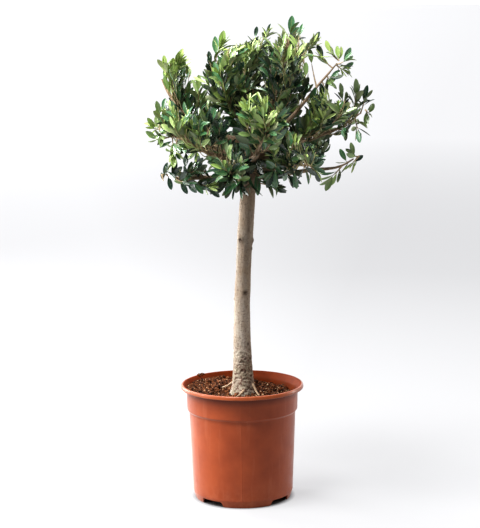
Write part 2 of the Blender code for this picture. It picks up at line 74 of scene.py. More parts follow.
# The studio is a plain white floor that runs on to the horizon, under a pale sky that is dark behind the
# camera. A large soft box on the left is the main light, with one behind it for the edges, one overhead and
# a weak one on the right.

FLOOR_SIZE = 6000.0
FLOOR_COLOUR = (0.115, 0.1155, 0.118)
FLOOR_GLOW_COLOUR = (0.985, 0.985, 1.0)
FLOOR_GLOW_NEAR = 0.53
FLOOR_GLOW_FAR = 0.824
FLOOR_FALL_NEAR = 0.03
FLOOR_FALL_FAR = 0.150
FLOOR_GLOW_REACH = (0.4, 7.0)
FLOOR_FALL_REACH = (0.4, 2.2)
FLOOR_SIDE_BLEND = 0.15
# Radii between which the floor's glow comes back, outside the painted shadow under the pot
FLOOR_SHADOW_EDGE = (0.0700, 0.0820)
SKY_COLOUR = (0.955, 0.965, 1.0)
SKY_BRIGHT_SIDE = (-0.45, 0.75, 0.48)
SKY_FADE = (0.0, 0.72)
SKY_DARKEST = 0.15
SKY_BRIGHTEST = 1.15

# name, place, what it aims at, width, height, watts, colour
SOFT_BOXES = (
    ("left_box", (-2.3, -0.15, 1.35), (0.0, 0.0, 0.42), 1.2, 1.5, 94.0, (1.0, 0.985, 0.96)),
    ("back_box", (-1.7, 1.5, 0.85), (0.0, 0.0, 0.40), 0.9, 1.6, 74.0, (1.0, 1.0, 1.0)),
    ("right_box", (2.2, 0.8, 0.7), (0.0, 0.0, 0.35), 0.5, 1.3, 26.0, (1.0, 0.96, 0.92)),
    ("top_box", (-0.6, -0.7, 2.4), (0.0, 0.0, 0.60), 0.8, 0.8, 102.0, (1.0, 1.0, 1.0)),
)


def new_material(name, colour, roughness, specular=0.5):
    """A Principled material with its plain numbers set, and its shader for what is patterned."""
    material = bpy.data.materials.new(name)
    material.use_nodes = True
    shader = material.node_tree.nodes["Principled BSDF"]
    shader.inputs["Base Color"].default_value = (*colour, 1.0)
    shader.inputs["Roughness"].default_value = roughness
    shader.inputs["Specular IOR Level"].default_value = specular
    return material, shader


def pattern_place(tree, stretch=(1.0, 1.0, 1.0)):
    """The piece's own coordinates in metres, with each axis stretched."""
    place = tree.nodes.new("ShaderNodeTexCoord")
    mapping = tree.nodes.new("ShaderNodeMapping")
    mapping.inputs["Scale"].default_value = stretch
    tree.links.new(place.outputs["Object"], mapping.inputs["Vector"])
    return mapping.outputs["Vector"]


def eased(tree, value, low, high, to_low=0.0, to_high=1.0):
    """The value spread from one range to another, and held at its ends."""
    spread = tree.nodes.new("ShaderNodeMapRange")
    for socket, number in zip(("From Min", "From Max", "To Min", "To Max"), (low, high, to_low, to_high)):
        spread.inputs[socket].default_value = number
    tree.links.new(value, spread.inputs["Value"])
    return spread.outputs["Result"]


def combined(tree, first, second, operation="MULTIPLY"):
    """Two values put together, multiplied if nothing else is said. Each is a number or a node's output."""
    math_node = tree.nodes.new("ShaderNodeMath")
    math_node.operation = operation
    for socket, value in zip(math_node.inputs, (first, second)):
        if isinstance(value, (int, float)):
            socket.default_value = value
        else:
            tree.links.new(value, socket)
    return math_node.outputs["Value"]


def radius_in_piece(tree):
    """Distance from the piece's upright axis, in metres."""
    flat = tree.nodes.new("ShaderNodeVectorMath")
    flat.operation = "LENGTH"
    tree.links.new(pattern_place(tree, (1.0, 1.0, 0.0)), flat.inputs[0])
    return flat.outputs["Value"]


def set_sky():
    """A sky that is brightest high on the left and behind the tree, and fades the other way."""
    world = bpy.data.worlds.new("studio_sky")
    bpy.context.scene.world = world
    world.use_nodes = True
    tree = world.node_tree
    background = tree.nodes["Background"]
    background.inputs["Color"].default_value = (*SKY_COLOUR, 1.0)
    place = tree.nodes.new("ShaderNodeTexCoord")
    facing = tree.nodes.new("ShaderNodeVectorMath")
    facing.operation = "DOT_PRODUCT"
    facing.inputs[1].default_value = SKY_BRIGHT_SIDE
    tree.links.new(place.outputs["Generated"], facing.inputs[0])
    strength = eased(tree, facing.outputs["Value"], *SKY_FADE, SKY_DARKEST, SKY_BRIGHTEST)
    tree.links.new(strength, background.inputs["Strength"])


def hang_soft_box(name, place, aim, width, height, watts, colour):
    light = bpy.data.lights.new(name, "AREA")
    light.shape = "RECTANGLE"
    light.size = width
    light.size_y = height
    light.energy = watts
    light.color = colour
    box = bpy.data.objects.new(name, light)
    bpy.context.scene.collection.objects.link(box)
    box.location = place
    box.rotation_euler = (Vector(aim) - Vector(place)).to_track_quat("-Z", "Y").to_euler()


def lay_floor():
    """A wide floor with a glow of its own: weaker on the right, which is painted shade, and gone under the
    pot, which is a painted shadow.
    """
    half = FLOOR_SIZE / 2.0
    corners = [(-half, -half, 0.0), (half, -half, 0.0), (half, half, 0.0), (-half, half, 0.0)]
    mesh = bpy.data.meshes.new("studio_floor")
    mesh.from_pydata(corners, [], [(0, 1, 2, 3)])
    material, shader = new_material("studio_floor", FLOOR_COLOUR, 0.85, 0.2)
    shader.inputs["Emission Color"].default_value = (*FLOOR_GLOW_COLOUR, 1.0)
    tree = material.node_tree
    radius = radius_in_piece(tree)
    glow = eased(tree, radius, *FLOOR_GLOW_REACH, FLOOR_GLOW_NEAR, FLOOR_GLOW_FAR)
    split = tree.nodes.new("ShaderNodeSeparateXYZ")
    tree.links.new(pattern_place(tree), split.inputs[0])
    # Painted shade: the floor's glow falls away to the right
    sideways = combined(tree, split.outputs["X"], radius, "DIVIDE")
    to_right = eased(tree, sideways, -FLOOR_SIDE_BLEND, FLOOR_SIDE_BLEND)
    fall = combined(tree, to_right, eased(tree, radius, *FLOOR_FALL_REACH, FLOOR_FALL_NEAR, FLOOR_FALL_FAR))
    # Painted shadow: no glow under the pot, coming back just outside its foot
    outside_pot_shadow = eased(tree, radius, *FLOOR_SHADOW_EDGE)
    lit = combined(tree, combined(tree, glow, fall, "SUBTRACT"), outside_pot_shadow)
    tree.links.new(lit, shader.inputs["Emission Strength"])
    mesh.materials.append(material)
    floor = bpy.data.objects.new("studio_floor", mesh)
    bpy.context.scene.collection.objects.link(floor)


set_sky()
for row in SOFT_BOXES:
    hang_soft_box(*row)
lay_floor()
bpy.context.scene.view_settings.view_transform = "Standard"
bpy.context.scene.view_settings.look = "Medium High Contrast"


# The pot is one thin-walled moulding of terracotta-coloured plastic: a rolled lip, a collar that steps in
# to a slightly tapered body, a foot ring with four drain notches, and a raised floor with a flat pad in its
# middle. The two halves of the mould leave a faint upright seam at the front and at the back.

POT_HEIGHT = 0.1785
RIM_RADIUS = 0.0950
LIP_WIDTH = 0.0062
LIP_DEPTH = 0.0060
COLLAR_RADIUS = 0.0857
STEP_RADIUS = 0.0822
STEP_HEIGHT = 0.1363
HEEL_RADIUS = 0.0775
HEEL_HEIGHT = 0.0115
FOOT_RADIUS = 0.0738
POT_WALL = 0.0020
FLOOR_RISE = 0.0080
PAD_RADIUS = 0.0300
POT_SIDES = 168
CORNER_STEPS = 4
SEAM_BEARINGS = (268.5, 88.5)
SEAM_WIDTH = 0.35
SEAM_HEIGHT = 0.00022
NOTCH_COUNT = 4
NOTCH_FIRST_BEARING = 230.0
NOTCH_WIDTH = 0.0400
NOTCH_SLANT = 0.0035
NOTCH_HEIGHT = 0.0088
NOTCH_EASE = 0.0016
NOTCH_BELOW = 0.004
NOTCH_HALF_DEPTH = 0.012
SHARP_ANGLE = 38.0
PLASTIC_COLOUR = (0.282, 0.057, 0.0150)
PLASTIC_DARK = (0.228, 0.042, 0.0105)
PLASTIC_DUST = (0.38, 0.125, 0.065)
# The lip's colour: rubbed plastic, and a painted highlight where its top catches the light
LIP_RUB_AND_HIGHLIGHT_COLOUR = (0.245, 0.074, 0.026)
# The colour of the painted shadow that the lip casts on the collar
LIP_SHADOW_COLOUR = (0.070, 0.009, 0.0015)
# The inner wall is the same plastic as the outside; its darker colours here are painted shade
INNER_SHADED_COLOUR = (0.155, 0.027, 0.005)
INNER_SHADE = (0.110, 0.018, 0.0035)
SOIL_STAIN = (0.075, 0.026, 0.011)

# Heights between which each mark on the plastic comes in: from nothing, to full
DUST_HEIGHTS = (0.045, 0.004)
LIP_RUB_AND_HIGHLIGHT_HEIGHTS = (0.1716, 0.1738)
# The painted shadow under the lip comes in between these heights, and fades out at the lip's underside
LIP_SHADOW_HEIGHTS = (0.1590, 0.1712)
LIP_SHADOW_TOP_HEIGHTS = (0.1730, 0.1722)
SOIL_SMEAR_HEIGHTS = (0.1735, 0.1600)

# Corners of the pot's section, from the middle of its floor up the inside, over the lip and down the
# outside: radius, height, rounding
POT_SECTION = (
    (0.0, POT_WALL, 0.0),
    (PAD_RADIUS - POT_WALL, POT_WALL, 0.0008),
    (PAD_RADIUS, FLOOR_RISE + POT_WALL, 0.0008),
    (HEEL_RADIUS - 2.2 * POT_WALL, FLOOR_RISE + POT_WALL, 0.0015),
    (HEEL_RADIUS - POT_WALL, HEEL_HEIGHT + 0.004, 0.0015),
    (STEP_RADIUS - POT_WALL, STEP_HEIGHT + 0.002, 0.0012),
    (COLLAR_RADIUS - POT_WALL, STEP_HEIGHT + 0.006, 0.0012),
    (COLLAR_RADIUS - POT_WALL, POT_HEIGHT - LIP_DEPTH - 0.004, 0.0030),
    (RIM_RADIUS - LIP_WIDTH, POT_HEIGHT - 0.0018, 0.0010),
    (RIM_RADIUS - 0.72 * LIP_WIDTH, POT_HEIGHT, 0.0012),
    (RIM_RADIUS - 0.0008, POT_HEIGHT, 0.0022),
    (RIM_RADIUS, POT_HEIGHT - LIP_DEPTH + 0.0008, 0.0006),
    (RIM_RADIUS - 0.0010, POT_HEIGHT - LIP_DEPTH, 0.0004),
    (COLLAR_RADIUS + 0.0004, POT_HEIGHT - LIP_DEPTH - 0.0006, 0.0010),
    (COLLAR_RADIUS - 0.0002, STEP_HEIGHT + 0.0036, 0.0009),
    (STEP_RADIUS + 0.0004, STEP_HEIGHT + 0.0004, 0.0009),
    (STEP_RADIUS, STEP_HEIGHT - 0.0030, 0.0015),
    (HEEL_RADIUS, HEEL_HEIGHT, 0.0006),
    (FOOT_RADIUS, 0.0, 0.0007),
    (FOOT_RADIUS - POT_WALL, 0.0, 0.0006),
    (FOOT_RADIUS - POT_WALL, FLOOR_RISE, 0.0006),
    (PAD_RADIUS + POT_WALL, FLOOR_RISE, 0.0006),
    (PAD_RADIUS, 0.0, 0.0004),
    (0.0, 0.0, 0.0),
)


def rounded(corners):
    """The section's corners, each drawn as a short curve that leaves the corner by its rounding."""
    points = [corners[0][:2]]
    for before, corner, after in zip(corners, corners[1:], corners[2:]):
        here = Vector(corner[:2])
        back, on = Vector(before[:2]) - here, Vector(after[:2]) - here
        first = here + back.normalized() * min(corner[2], 0.45 * back.length)
        last = here + on.normalized() * min(corner[2], 0.45 * on.length)
        for step in range(CORNER_STEPS + 1):
            share = step / CORNER_STEPS
            points.append(tuple(first.lerp(here, share).lerp(here.lerp(last, share), share)))
    return points + [corners[-1][:2]]


def face_outwards(mesh):
    shell = bmesh.new()
    shell.from_mesh(mesh)
    bmesh.ops.recalc_face_normals(shell, faces=shell.faces)
    shell.to_mesh(mesh)
    shell.free()


def ring_mesh(name, rings):
    """Rings of points joined by faces. A ring of one point closes the shape at its end."""
    verts, faces, starts = [], [], []
    for ring in rings:
        starts.append(len(verts))
        verts.extend(tuple(point) for point in ring)
    for low, high, a, b in zip(rings, rings[1:], starts, starts[1:]):
        sides = max(len(low), len(high))
        for side in range(sides):
            after = (side + 1) % sides
            if len(low) == 1:
                faces.append((a, b + after, b + side))
            elif len(high) == 1:
                faces.append((a + side, a + after, b))
            else:
                faces.append((a + side, a + after, b + after, b + side))
    mesh = bpy.data.meshes.new(name)
    mesh.from_pydata(verts, [], faces)
    face_outwards(mesh)
    return mesh


def link_piece(name, mesh):
    piece = bpy.data.objects.new(name, mesh)
    bpy.context.scene.collection.objects.link(piece)
    return piece


def plain_mesh_of(piece):
    """Puts the piece's evaluated shape in its mesh and takes its modifiers off."""
    graph = bpy.context.evaluated_depsgraph_get()
    finished = bpy.data.meshes.new_from_object(piece.evaluated_get(graph))
    piece.modifiers.clear()
    finished.name = piece.name
    piece.data = finished
    return piece


def noise_of(tree, scale, detail=4.0, roughness=0.55, stretch=(1.0, 1.0, 1.0)):
    texture = tree.nodes.new("ShaderNodeTexNoise")
    texture.inputs["Scale"].default_value = scale
    texture.inputs["Detail"].default_value = detail
    texture.inputs["Roughness"].default_value = roughness
    tree.links.new(pattern_place(tree, stretch), texture.inputs["Vector"])
    return texture.outputs["Fac"]


def mixed(tree, share, first, second):
    """Two colours mixed by a share. Each is a plain colour or another node's output."""
    mix = tree.nodes.new("ShaderNodeMix")
    mix.data_type = "RGBA"
    tree.links.new(share, mix.inputs["Factor"])
    for socket, colour in (("A", first), ("B", second)):
        target = next(s for s in mix.inputs if s.name == socket and s.type == "RGBA")
        if isinstance(colour, tuple):
            target.default_value = (*colour, 1.0)
        else:
            tree.links.new(colour, target)
    return next(s for s in mix.outputs if s.type == "RGBA")


def height_in_piece(tree):
    split = tree.nodes.new("ShaderNodeSeparateXYZ")
    tree.links.new(pattern_place(tree), split.inputs[0])
    return split.outputs["Z"]


def raise_grain(tree, shader, height, distance, strength=1.0):
    bump = tree.nodes.new("ShaderNodeBump")
    bump.inputs["Distance"].default_value = distance
    bump.inputs["Strength"].default_value = strength
    tree.links.new(height, bump.inputs["Height"])
    tree.links.new(bump.outputs["Normal"], shader.inputs["Normal"])


def from_seam(bearing):
    return min(abs(bearing - seam) for seam in SEAM_BEARINGS)


def pot_bearings():
    """Even steps round the pot, with a few close ones over each mould seam."""
    even = [360.0 * side / POT_SIDES for side in range(POT_SIDES)]
    close = [seam + step * SEAM_WIDTH for seam in SEAM_BEARINGS for step in (-1.6, -0.8, 0.0, 0.8, 1.6)]
    return sorted([bearing for bearing in even if from_seam(bearing) > 1.7 * SEAM_WIDTH] + close)


def seam_rise(bearing, height, outside):
    """How far the mould seam stands proud: only on the outside of the body and of the collar."""
    if not outside or not HEEL_HEIGHT < height < POT_HEIGHT - LIP_DEPTH - 0.002:
        return 0.0
    return SEAM_HEIGHT * math.exp(-((from_seam(bearing) / SEAM_WIDTH) ** 2))


def pot_rings():
    section = rounded(POT_SECTION)
    crest = max(range(len(section)), key=lambda number: section[number][0])
    rings = []
    for number, (radius, height) in enumerate(section):
        if radius == 0.0:
            rings.append([(0.0, 0.0, height)])
            continue
        ring = []
        for bearing in pot_bearings():
            out = radius + seam_rise(bearing, height, number > crest)
            angle = math.radians(bearing)
            ring.append((out * math.cos(angle), out * math.sin(angle), height))
        rings.append(ring)
    return rings


def notch_cutter(number):
    """One drain notch's block: wider at the foot than at its top, with its upper corners eased."""
    bearing = NOTCH_FIRST_BEARING + number * 360.0 / NOTCH_COUNT
    half_top, half_foot = 0.5 * (NOTCH_WIDTH - NOTCH_SLANT), 0.5 * (NOTCH_WIDTH + NOTCH_SLANT)
    right_half = [
        (half_foot, -NOTCH_BELOW),
        (half_top + 0.25 * NOTCH_EASE, NOTCH_HEIGHT - NOTCH_EASE),
        (half_top - 0.4 * NOTCH_EASE, NOTCH_HEIGHT - 0.4 * NOTCH_EASE),
        (half_top - NOTCH_EASE, NOTCH_HEIGHT),
    ]
    section = right_half + [(-across, height) for across, height in reversed(right_half)]
    count = len(section)
    depths = (-NOTCH_HALF_DEPTH, NOTCH_HALF_DEPTH)
    verts = [(depth, across, height) for depth in depths for across, height in section]
    faces = [tuple(range(count)), tuple(range(2 * count - 1, count - 1, -1))]
    faces += [(i, i + count, (i + 1) % count + count, (i + 1) % count) for i in range(count)]
    mesh = bpy.data.meshes.new(f"notch_block_{number}")
    mesh.from_pydata(verts, [], faces)
    turn = Matrix.Rotation(math.radians(bearing), 4, "Z")
    mesh.transform(turn @ Matrix.Translation((FOOT_RADIUS + 0.5 * POT_WALL, 0.0, 0.0)))
    face_outwards(mesh)
    return link_piece(mesh.name, mesh)


def pot_plastic():
    """The outside: faintly mottled and streaked, dusty at the foot, rubbed on the lip with a painted
    highlight there, and with painted shade under the lip.
    """
    material, shader = new_material("pot_plastic", PLASTIC_COLOUR, 0.36, 0.30)
    shader.inputs["Sheen Weight"].default_value = 0.28
    shader.inputs["Sheen Roughness"].default_value = 0.30
    tree = material.node_tree
    mottle = eased(tree, noise_of(tree, 26.0, 3.0), 0.35, 0.68)
    body = mixed(tree, mottle, PLASTIC_DARK, PLASTIC_COLOUR)
    streaks = eased(tree, noise_of(tree, 60.0, 5.0, 0.6, (1.0, 1.0, 0.10)), 0.55, 0.76, 0.0, 0.42)
    low = eased(tree, height_in_piece(tree), *DUST_HEIGHTS)
    dust = combined(tree, eased(tree, noise_of(tree, 90.0, 6.0, 0.7), 0.42, 0.66), low)
    dusty = mixed(tree, combined(tree, dust, 0.35), mixed(tree, streaks, body, PLASTIC_DUST), PLASTIC_DUST)
    # The top of the lip is rubbed and carries a painted highlight
    rubbed = combined(tree, eased(tree, height_in_piece(tree), *LIP_RUB_AND_HIGHLIGHT_HEIGHTS), 0.45)
    lipped = mixed(tree, rubbed, dusty, LIP_RUB_AND_HIGHLIGHT_COLOUR)
    # Painted shadow: the collar just under the lip is darkened towards near black
    corner = eased(tree, height_in_piece(tree), *LIP_SHADOW_HEIGHTS)
    lip_shadow_top = eased(tree, height_in_piece(tree), *LIP_SHADOW_TOP_HEIGHTS, 0.0, 0.85)
    lip_shadow_share = combined(tree, corner, lip_shadow_top)
    tree.links.new(mixed(tree, lip_shadow_share, lipped, LIP_SHADOW_COLOUR), shader.inputs["Base Color"])
    wear = combined(tree, noise_of(tree, 45.0, 6.0, 0.65), combined(tree, dust, 0.6), "ADD")
    tree.links.new(eased(tree, wear, 0.35, 1.0, 0.31, 0.62), shader.inputs["Roughness"])
    orange_peel = noise_of(tree, 520.0, 2.0)
    ripple = combined(tree, noise_of(tree, 38.0, 2.0, 0.5, (1.0, 1.0, 0.45)), 6.0)
    raise_grain(tree, shader, combined(tree, orange_peel, ripple, "ADD"), 0.00010, 0.55)
    return material


def pot_inside():
    """The inner wall: duller than the outside, painted darker as shade, and smeared dark by the soil up to a
    little above it.
    """
    material, shader = new_material("pot_inside", INNER_SHADED_COLOUR, 0.62, 0.05)
    tree = material.node_tree
    mottle = eased(tree, noise_of(tree, 40.0, 4.0), 0.35, 0.68)
    wall = mixed(tree, mottle, INNER_SHADE, INNER_SHADED_COLOUR)
    near_soil = eased(tree, height_in_piece(tree), *SOIL_SMEAR_HEIGHTS)
    smears = eased(tree, noise_of(tree, 130.0, 6.0, 0.75), 0.44, 0.60)
    crumbs = combined(tree, eased(tree, noise_of(tree, 520.0, 3.0, 0.6), 0.58, 0.64), 0.8)
    stain = combined(tree, near_soil, combined(tree, smears, crumbs, "MAXIMUM"))
    tree.links.new(mixed(tree, stain, wall, SOIL_STAIN), shader.inputs["Base Color"])
    raise_grain(tree, shader, noise_of(tree, 300.0, 4.0), 0.00015, 0.6)
    return material


pot = link_piece("nursery_pot", ring_mesh("nursery_pot", pot_rings()))
for number in range(NOTCH_COUNT):
    cutter = notch_cutter(number)
    cut = pot.modifiers.new("drain_notch", "BOOLEAN")
    cut.operation = "DIFFERENCE"
    cut.object = cutter
    cut.solver = "EXACT"
    plain_mesh_of(pot)
    bpy.data.objects.remove(cutter)
pot.data.materials.clear()
pot.data.materials.append(pot_plastic())
pot.data.materials.append(pot_inside())
for face in pot.data.polygons:
    outwards = Vector((face.center.x, face.center.y, 0.0)).normalized()
    in_pot = face.center.z > FLOOR_RISE + POT_WALL and face.normal.dot(outwards) < -0.05
    face.material_index = int(in_pot)
pot.data.shade_smooth()
pot.data.set_sharp_from_angle(angle=math.radians(SHARP_ANGLE))
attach(pot, "root")
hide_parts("pot")


# The soil is a coarse, dark brown potting mix. It is banked up at the back left and low at the right, where
# more of the pot's inner wall shows. Its face is loose crumbs of all sizes with pale bits of bark and
# fibre, and a few crumbs lie on the pot's lip.

SOIL_LEVEL = 0.1622
SOIL_BANK = 0.0110
SOIL_DROP = 0.0060
SOIL_LUMP = 0.0022
SOIL_FINE_LUMP = 0.0038
SOIL_TILT = (-0.85, 0.50)
SOIL_FLAT_RADIUS = 0.0300
SOIL_FLAT_FADE = 0.018
SOIL_SMOOTH_RADII = (0.010, 0.022)
SOIL_SIDES = 144
SOIL_RING_STEP = 0.0018
SOIL_WALL_HEIGHTS = (0.142, 0.137, 0.016)
SOIL_FLOOR_RADIUS = 0.0729
WALL_CLEARANCE = 0.0004
SCATTER_SIDES = 72
SCATTER_RINGS = 26
SCATTER_FROM = 0.16
SOIL_DARK = (0.010, 0.0036, 0.0018)
SOIL_BROWN = (0.165, 0.058, 0.022)
SOIL_TAN = (0.66, 0.46, 0.28)

# name, seed, crumbs a square metre, smallest, largest, flatness, colours
CRUMB_KINDS = (
    ("soil_crumbs", 3, 52000.0, 0.0018, 0.0050, 0.74, (SOIL_DARK, SOIL_BROWN)),
    ("soil_clods", 5, 13000.0, 0.0048, 0.0092, 0.66, (SOIL_DARK, SOIL_BROWN)),
    ("bark_bits", 8, 24000.0, 0.0014, 0.0048, 0.30, (SOIL_BROWN, SOIL_TAN)),
)
RIM_CRUMBS = ("rim_crumbs", 4, 420000.0, 0.0020, 0.0046, 0.60, (SOIL_DARK, SOIL_BROWN))
RIM_CRUMBS_BEARINGS = (131.0, 140.5)
RIM_STRIP_POINTS = 9


def blend(low, high, value):
    """0 below low, 1 above high, and an even S between them."""
    share = min(1.0, max(0.0, (value - low) / (high - low)))
    return share * share * (3.0 - 2.0 * share)


def ground_noise(x, y, pitch, layer):
    return noise.noise(Vector((pitch * x, pitch * y, layer)))


def soil_height(x, y):
    """The ground's bank and larger lumps, flat round the stem."""
    tilt = (SOIL_TILT[0] * x + SOIL_TILT[1] * y) / COLLAR_RADIUS
    bank = tilt * (SOIL_BANK if tilt > 0.0 else SOIL_DROP)
    lumps = SOIL_LUMP * ground_noise(x, y, 62.0, 4.0)
    away = blend(SOIL_FLAT_RADIUS, SOIL_FLAT_RADIUS + SOIL_FLAT_FADE, math.hypot(x, y))
    return SOIL_LEVEL + away * (bank + lumps)


def soil_face(x, y):
    """The ground with its finer lumps, which fade out under the stem."""
    clods = ground_noise(x, y, 210.0, 9.0)
    grains = 0.5 * ground_noise(x, y, 460.0, 2.0)
    away = blend(*SOIL_SMOOTH_RADII, math.hypot(x, y))
    return soil_height(x, y) + SOIL_FINE_LUMP * (clods + grains) * away


def wall_radius_at(height):
    """The inner wall's radius at a height above the pot's floor."""
    points = [corner[:2] for corner in POT_SECTION[3:9]]
    for (low_radius, low), (high_radius, high) in zip(points, points[1:]):
        if low <= height <= high:
            return low_radius + (high_radius - low_radius) * (height - low) / (high - low)
    return points[-1][0]


def circle(radius, sides, height):
    turns = [2.0 * math.pi * side / sides for side in range(sides)]
    return [(radius * math.cos(turn), radius * math.sin(turn), height) for turn in turns]


def soil_edge(bearing):
    """The soil's radius at its edge, where it meets the pot's wall at the height that it reaches there."""
    radius = wall_radius_at(SOIL_LEVEL)
    for attempt in range(3):
        radius = wall_radius_at(soil_height(radius * math.cos(bearing), radius * math.sin(bearing)))
    return radius - WALL_CLEARANCE


def ground_ring(share, sides, margin=0.0):
    """A ring of the soil's upper face at a share of the way to its edge."""
    ring = []
    for side in range(sides):
        bearing = 2.0 * math.pi * side / sides
        radius = (soil_edge(bearing) - margin) * share
        x, y = radius * math.cos(bearing), radius * math.sin(bearing)
        ring.append((x, y, soil_face(x, y)))
    return ring


def soil_rings():
    count = int(wall_radius_at(SOIL_LEVEL) / SOIL_RING_STEP)
    rings = [[(0.0, 0.0, SOIL_LEVEL)]]
    rings += [ground_ring(number / count, SOIL_SIDES) for number in range(1, count + 1)]
    for height in SOIL_WALL_HEIGHTS:
        rings.append(circle(wall_radius_at(height) - WALL_CLEARANCE, SOIL_SIDES, height))
    floor = FLOOR_RISE + POT_WALL + WALL_CLEARANCE
    return rings + [circle(SOIL_FLOOR_RADIUS, SOIL_SIDES, floor), [(0.0, 0.0, floor)]]


def soil_material(name, dark, light, grain):
    material, shader = new_material(name, dark, 0.92, 0.12)
    tree = material.node_tree
    patches = eased(tree, noise_of(tree, grain, 4.0, 0.7), 0.44, 0.60)
    tree.links.new(mixed(tree, patches, dark, light), shader.inputs["Base Color"])
    damp = noise_of(tree, 60.0, 3.0)
    tree.links.new(eased(tree, damp, 0.35, 0.65, 0.70, 0.98), shader.inputs["Roughness"])
    raise_grain(tree, shader, noise_of(tree, 900.0, 6.0, 0.7), 0.0006, 0.8)
    return material


def crumb_shapes(name, flatness, seed):
    """Four lumpy little stones of unit size, as a collection for the scatter to pick from."""
    shapes = bpy.data.collections.new(name + "_shapes")
    for number in range(4):
        stone = bmesh.new()
        bmesh.ops.create_icosphere(stone, subdivisions=1, radius=0.5)
        for vert in stone.verts:
            push = noise.noise(vert.co * 2.3 + Vector((seed, number * 7.0, 0.0)))
            vert.co *= 1.0 + 0.75 * push
            vert.co.z *= flatness
        mesh = bpy.data.meshes.new(f"{name}_shape_{number}")
        stone.to_mesh(mesh)
        stone.free()
        shapes.objects.link(bpy.data.objects.new(mesh.name, mesh))
    return shapes


class Tree:
    """A small Geometry Nodes tree: it adds nodes, links them, and sets a modifier's inputs."""

    def __init__(self, name):
        self.group = bpy.data.node_groups.new(name, "GeometryNodeTree")
        self.group.interface.new_socket("Geometry", in_out="INPUT", socket_type="NodeSocketGeometry")
        self.group.interface.new_socket("Geometry", in_out="OUTPUT", socket_type="NodeSocketGeometry")
        self.inlet = self.group.nodes.new("NodeGroupInput")
        self.outlet = self.group.nodes.new("NodeGroupOutput")

    def size(self, name, kind):
        """A named input of the tree, as a socket inside it."""
        self.group.interface.new_socket(name, in_out="INPUT", socket_type="NodeSocket" + kind)
        return self.inlet.outputs[name]

    def add(self, kind, out=0, settings=None, **wires):
        """A node with its inputs wired or set by name, underscores for spaces. Returns one output."""
        node = self.group.nodes.new(kind)
        for key, value in (settings or {}).items():
            setattr(node, key, value)
        for key, value in wires.items():
            socket = next(s for s in node.inputs if s.name == key.replace("_", " ") and s.enabled)
            if isinstance(value, bpy.types.NodeSocket):
                self.group.links.new(value, socket)
            else:
                socket.default_value = value
        return [s for s in node.outputs if s.enabled][out]

    def named(self, attribute, kind="FLOAT"):
        return self.add("GeometryNodeInputNamedAttribute", settings={"data_type": kind}, Name=attribute)

    def random(self, kind, low, high, seed):
        settings = {"data_type": kind}
        return self.add("FunctionNodeRandomValue", settings=settings, Min=low, Max=high, Seed=seed)

    def shapes_in(self, collection):
        """The collection's objects, each apart and at its own origin."""
        return self.add(
            "GeometryNodeCollectionInfo", Collection=collection, Separate_Children=True, Reset_Children=True
        )

    def finish(self, geometry):
        self.group.links.new(geometry, self.outlet.inputs[0])

    def grow(self, piece, **sizes):
        """Runs the tree on the piece with these inputs, underscores for spaces, and leaves a plain mesh."""
        modifier = piece.modifiers.new(self.group.name, "NODES")
        modifier.node_group = self.group
        inputs = [item for item in self.group.interface.items_tree if item.in_out == "INPUT"]
        found = {item.name: item.identifier for item in inputs}
        for name, value in sizes.items():
            modifier[found[name.replace("_", " ")]] = value
        piece.update_tag()
        bpy.context.view_layer.update()
        return plain_mesh_of(piece)


def scatter_tree():
    """Scatters small stones over a face, each turned at random, half sunk in it."""
    tree = Tree("scatter_crumbs")
    shapes = tree.size("Shapes", "Collection")
    density = tree.size("Density", "Float")
    smallest = tree.size("Smallest", "Float")
    largest = tree.size("Largest", "Float")
    seed = tree.size("Seed", "Int")
    finish = tree.size("Finish", "Material")
    ground = tree.inlet.outputs["Geometry"]
    points = tree.add("GeometryNodeDistributePointsOnFaces", Mesh=ground, Density=density, Seed=seed)
    turn = tree.random("FLOAT_VECTOR", (0.0, 0.0, 0.0), (2.0 * math.pi,) * 3, seed)
    size = tree.random("FLOAT", smallest, largest, seed)
    placed = tree.add(
        "GeometryNodeInstanceOnPoints",
        Points=points,
        Instance=tree.shapes_in(shapes),
        Pick_Instance=True,
        Rotation=turn,
        Scale=size,
    )
    real = tree.add("GeometryNodeRealizeInstances", Geometry=placed)
    smooth = tree.add("GeometryNodeSetShadeSmooth", Geometry=real, Shade_Smooth=True)
    tree.finish(tree.add("GeometryNodeSetMaterial", Geometry=smooth, Material=finish))
    return tree


def open_ground(margin):
    """The soil's upper face up to a margin from its edge, for crumbs to lie on."""
    shares = np.linspace(SCATTER_FROM, 1.0, SCATTER_RINGS)
    return ring_mesh("ground", [ground_ring(share, SCATTER_SIDES, margin) for share in shares])


soil = link_piece("potting_soil", ring_mesh("potting_soil", soil_rings()))
soil.data.materials.append(soil_material("potting_soil", SOIL_DARK, SOIL_BROWN, 300.0))
soil.data.shade_smooth()
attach(soil, "root")
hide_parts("soil")


def rim_ground():
    """A short strip of the pot's lip at the back left, where a few crumbs lie."""
    turns = np.linspace(*np.radians(RIM_CRUMBS_BEARINGS), RIM_STRIP_POINTS)
    count = len(turns)
    verts = []
    for radius in (RIM_RADIUS - LIP_WIDTH, RIM_RADIUS - 0.3 * LIP_WIDTH):
        verts += [(radius * math.cos(turn), radius * math.sin(turn), POT_HEIGHT) for turn in turns]
    mesh = bpy.data.meshes.new("rim_ground")
    mesh.from_pydata(verts, [], [(i, i + 1, count + i + 1, count + i) for i in range(count - 1)])
    return mesh


def scatter_crumbs(ground, name, seed, density, smallest, largest, flatness, colours):
    crumbs = link_piece(name, ground)
    scatter.grow(
        crumbs,
        Shapes=crumb_shapes(name, flatness, seed),
        Density=density,
        Smallest=smallest,
        Largest=largest,
        Seed=seed,
        Finish=soil_material(name, *colours, 230.0),
    )
    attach(crumbs, "root")


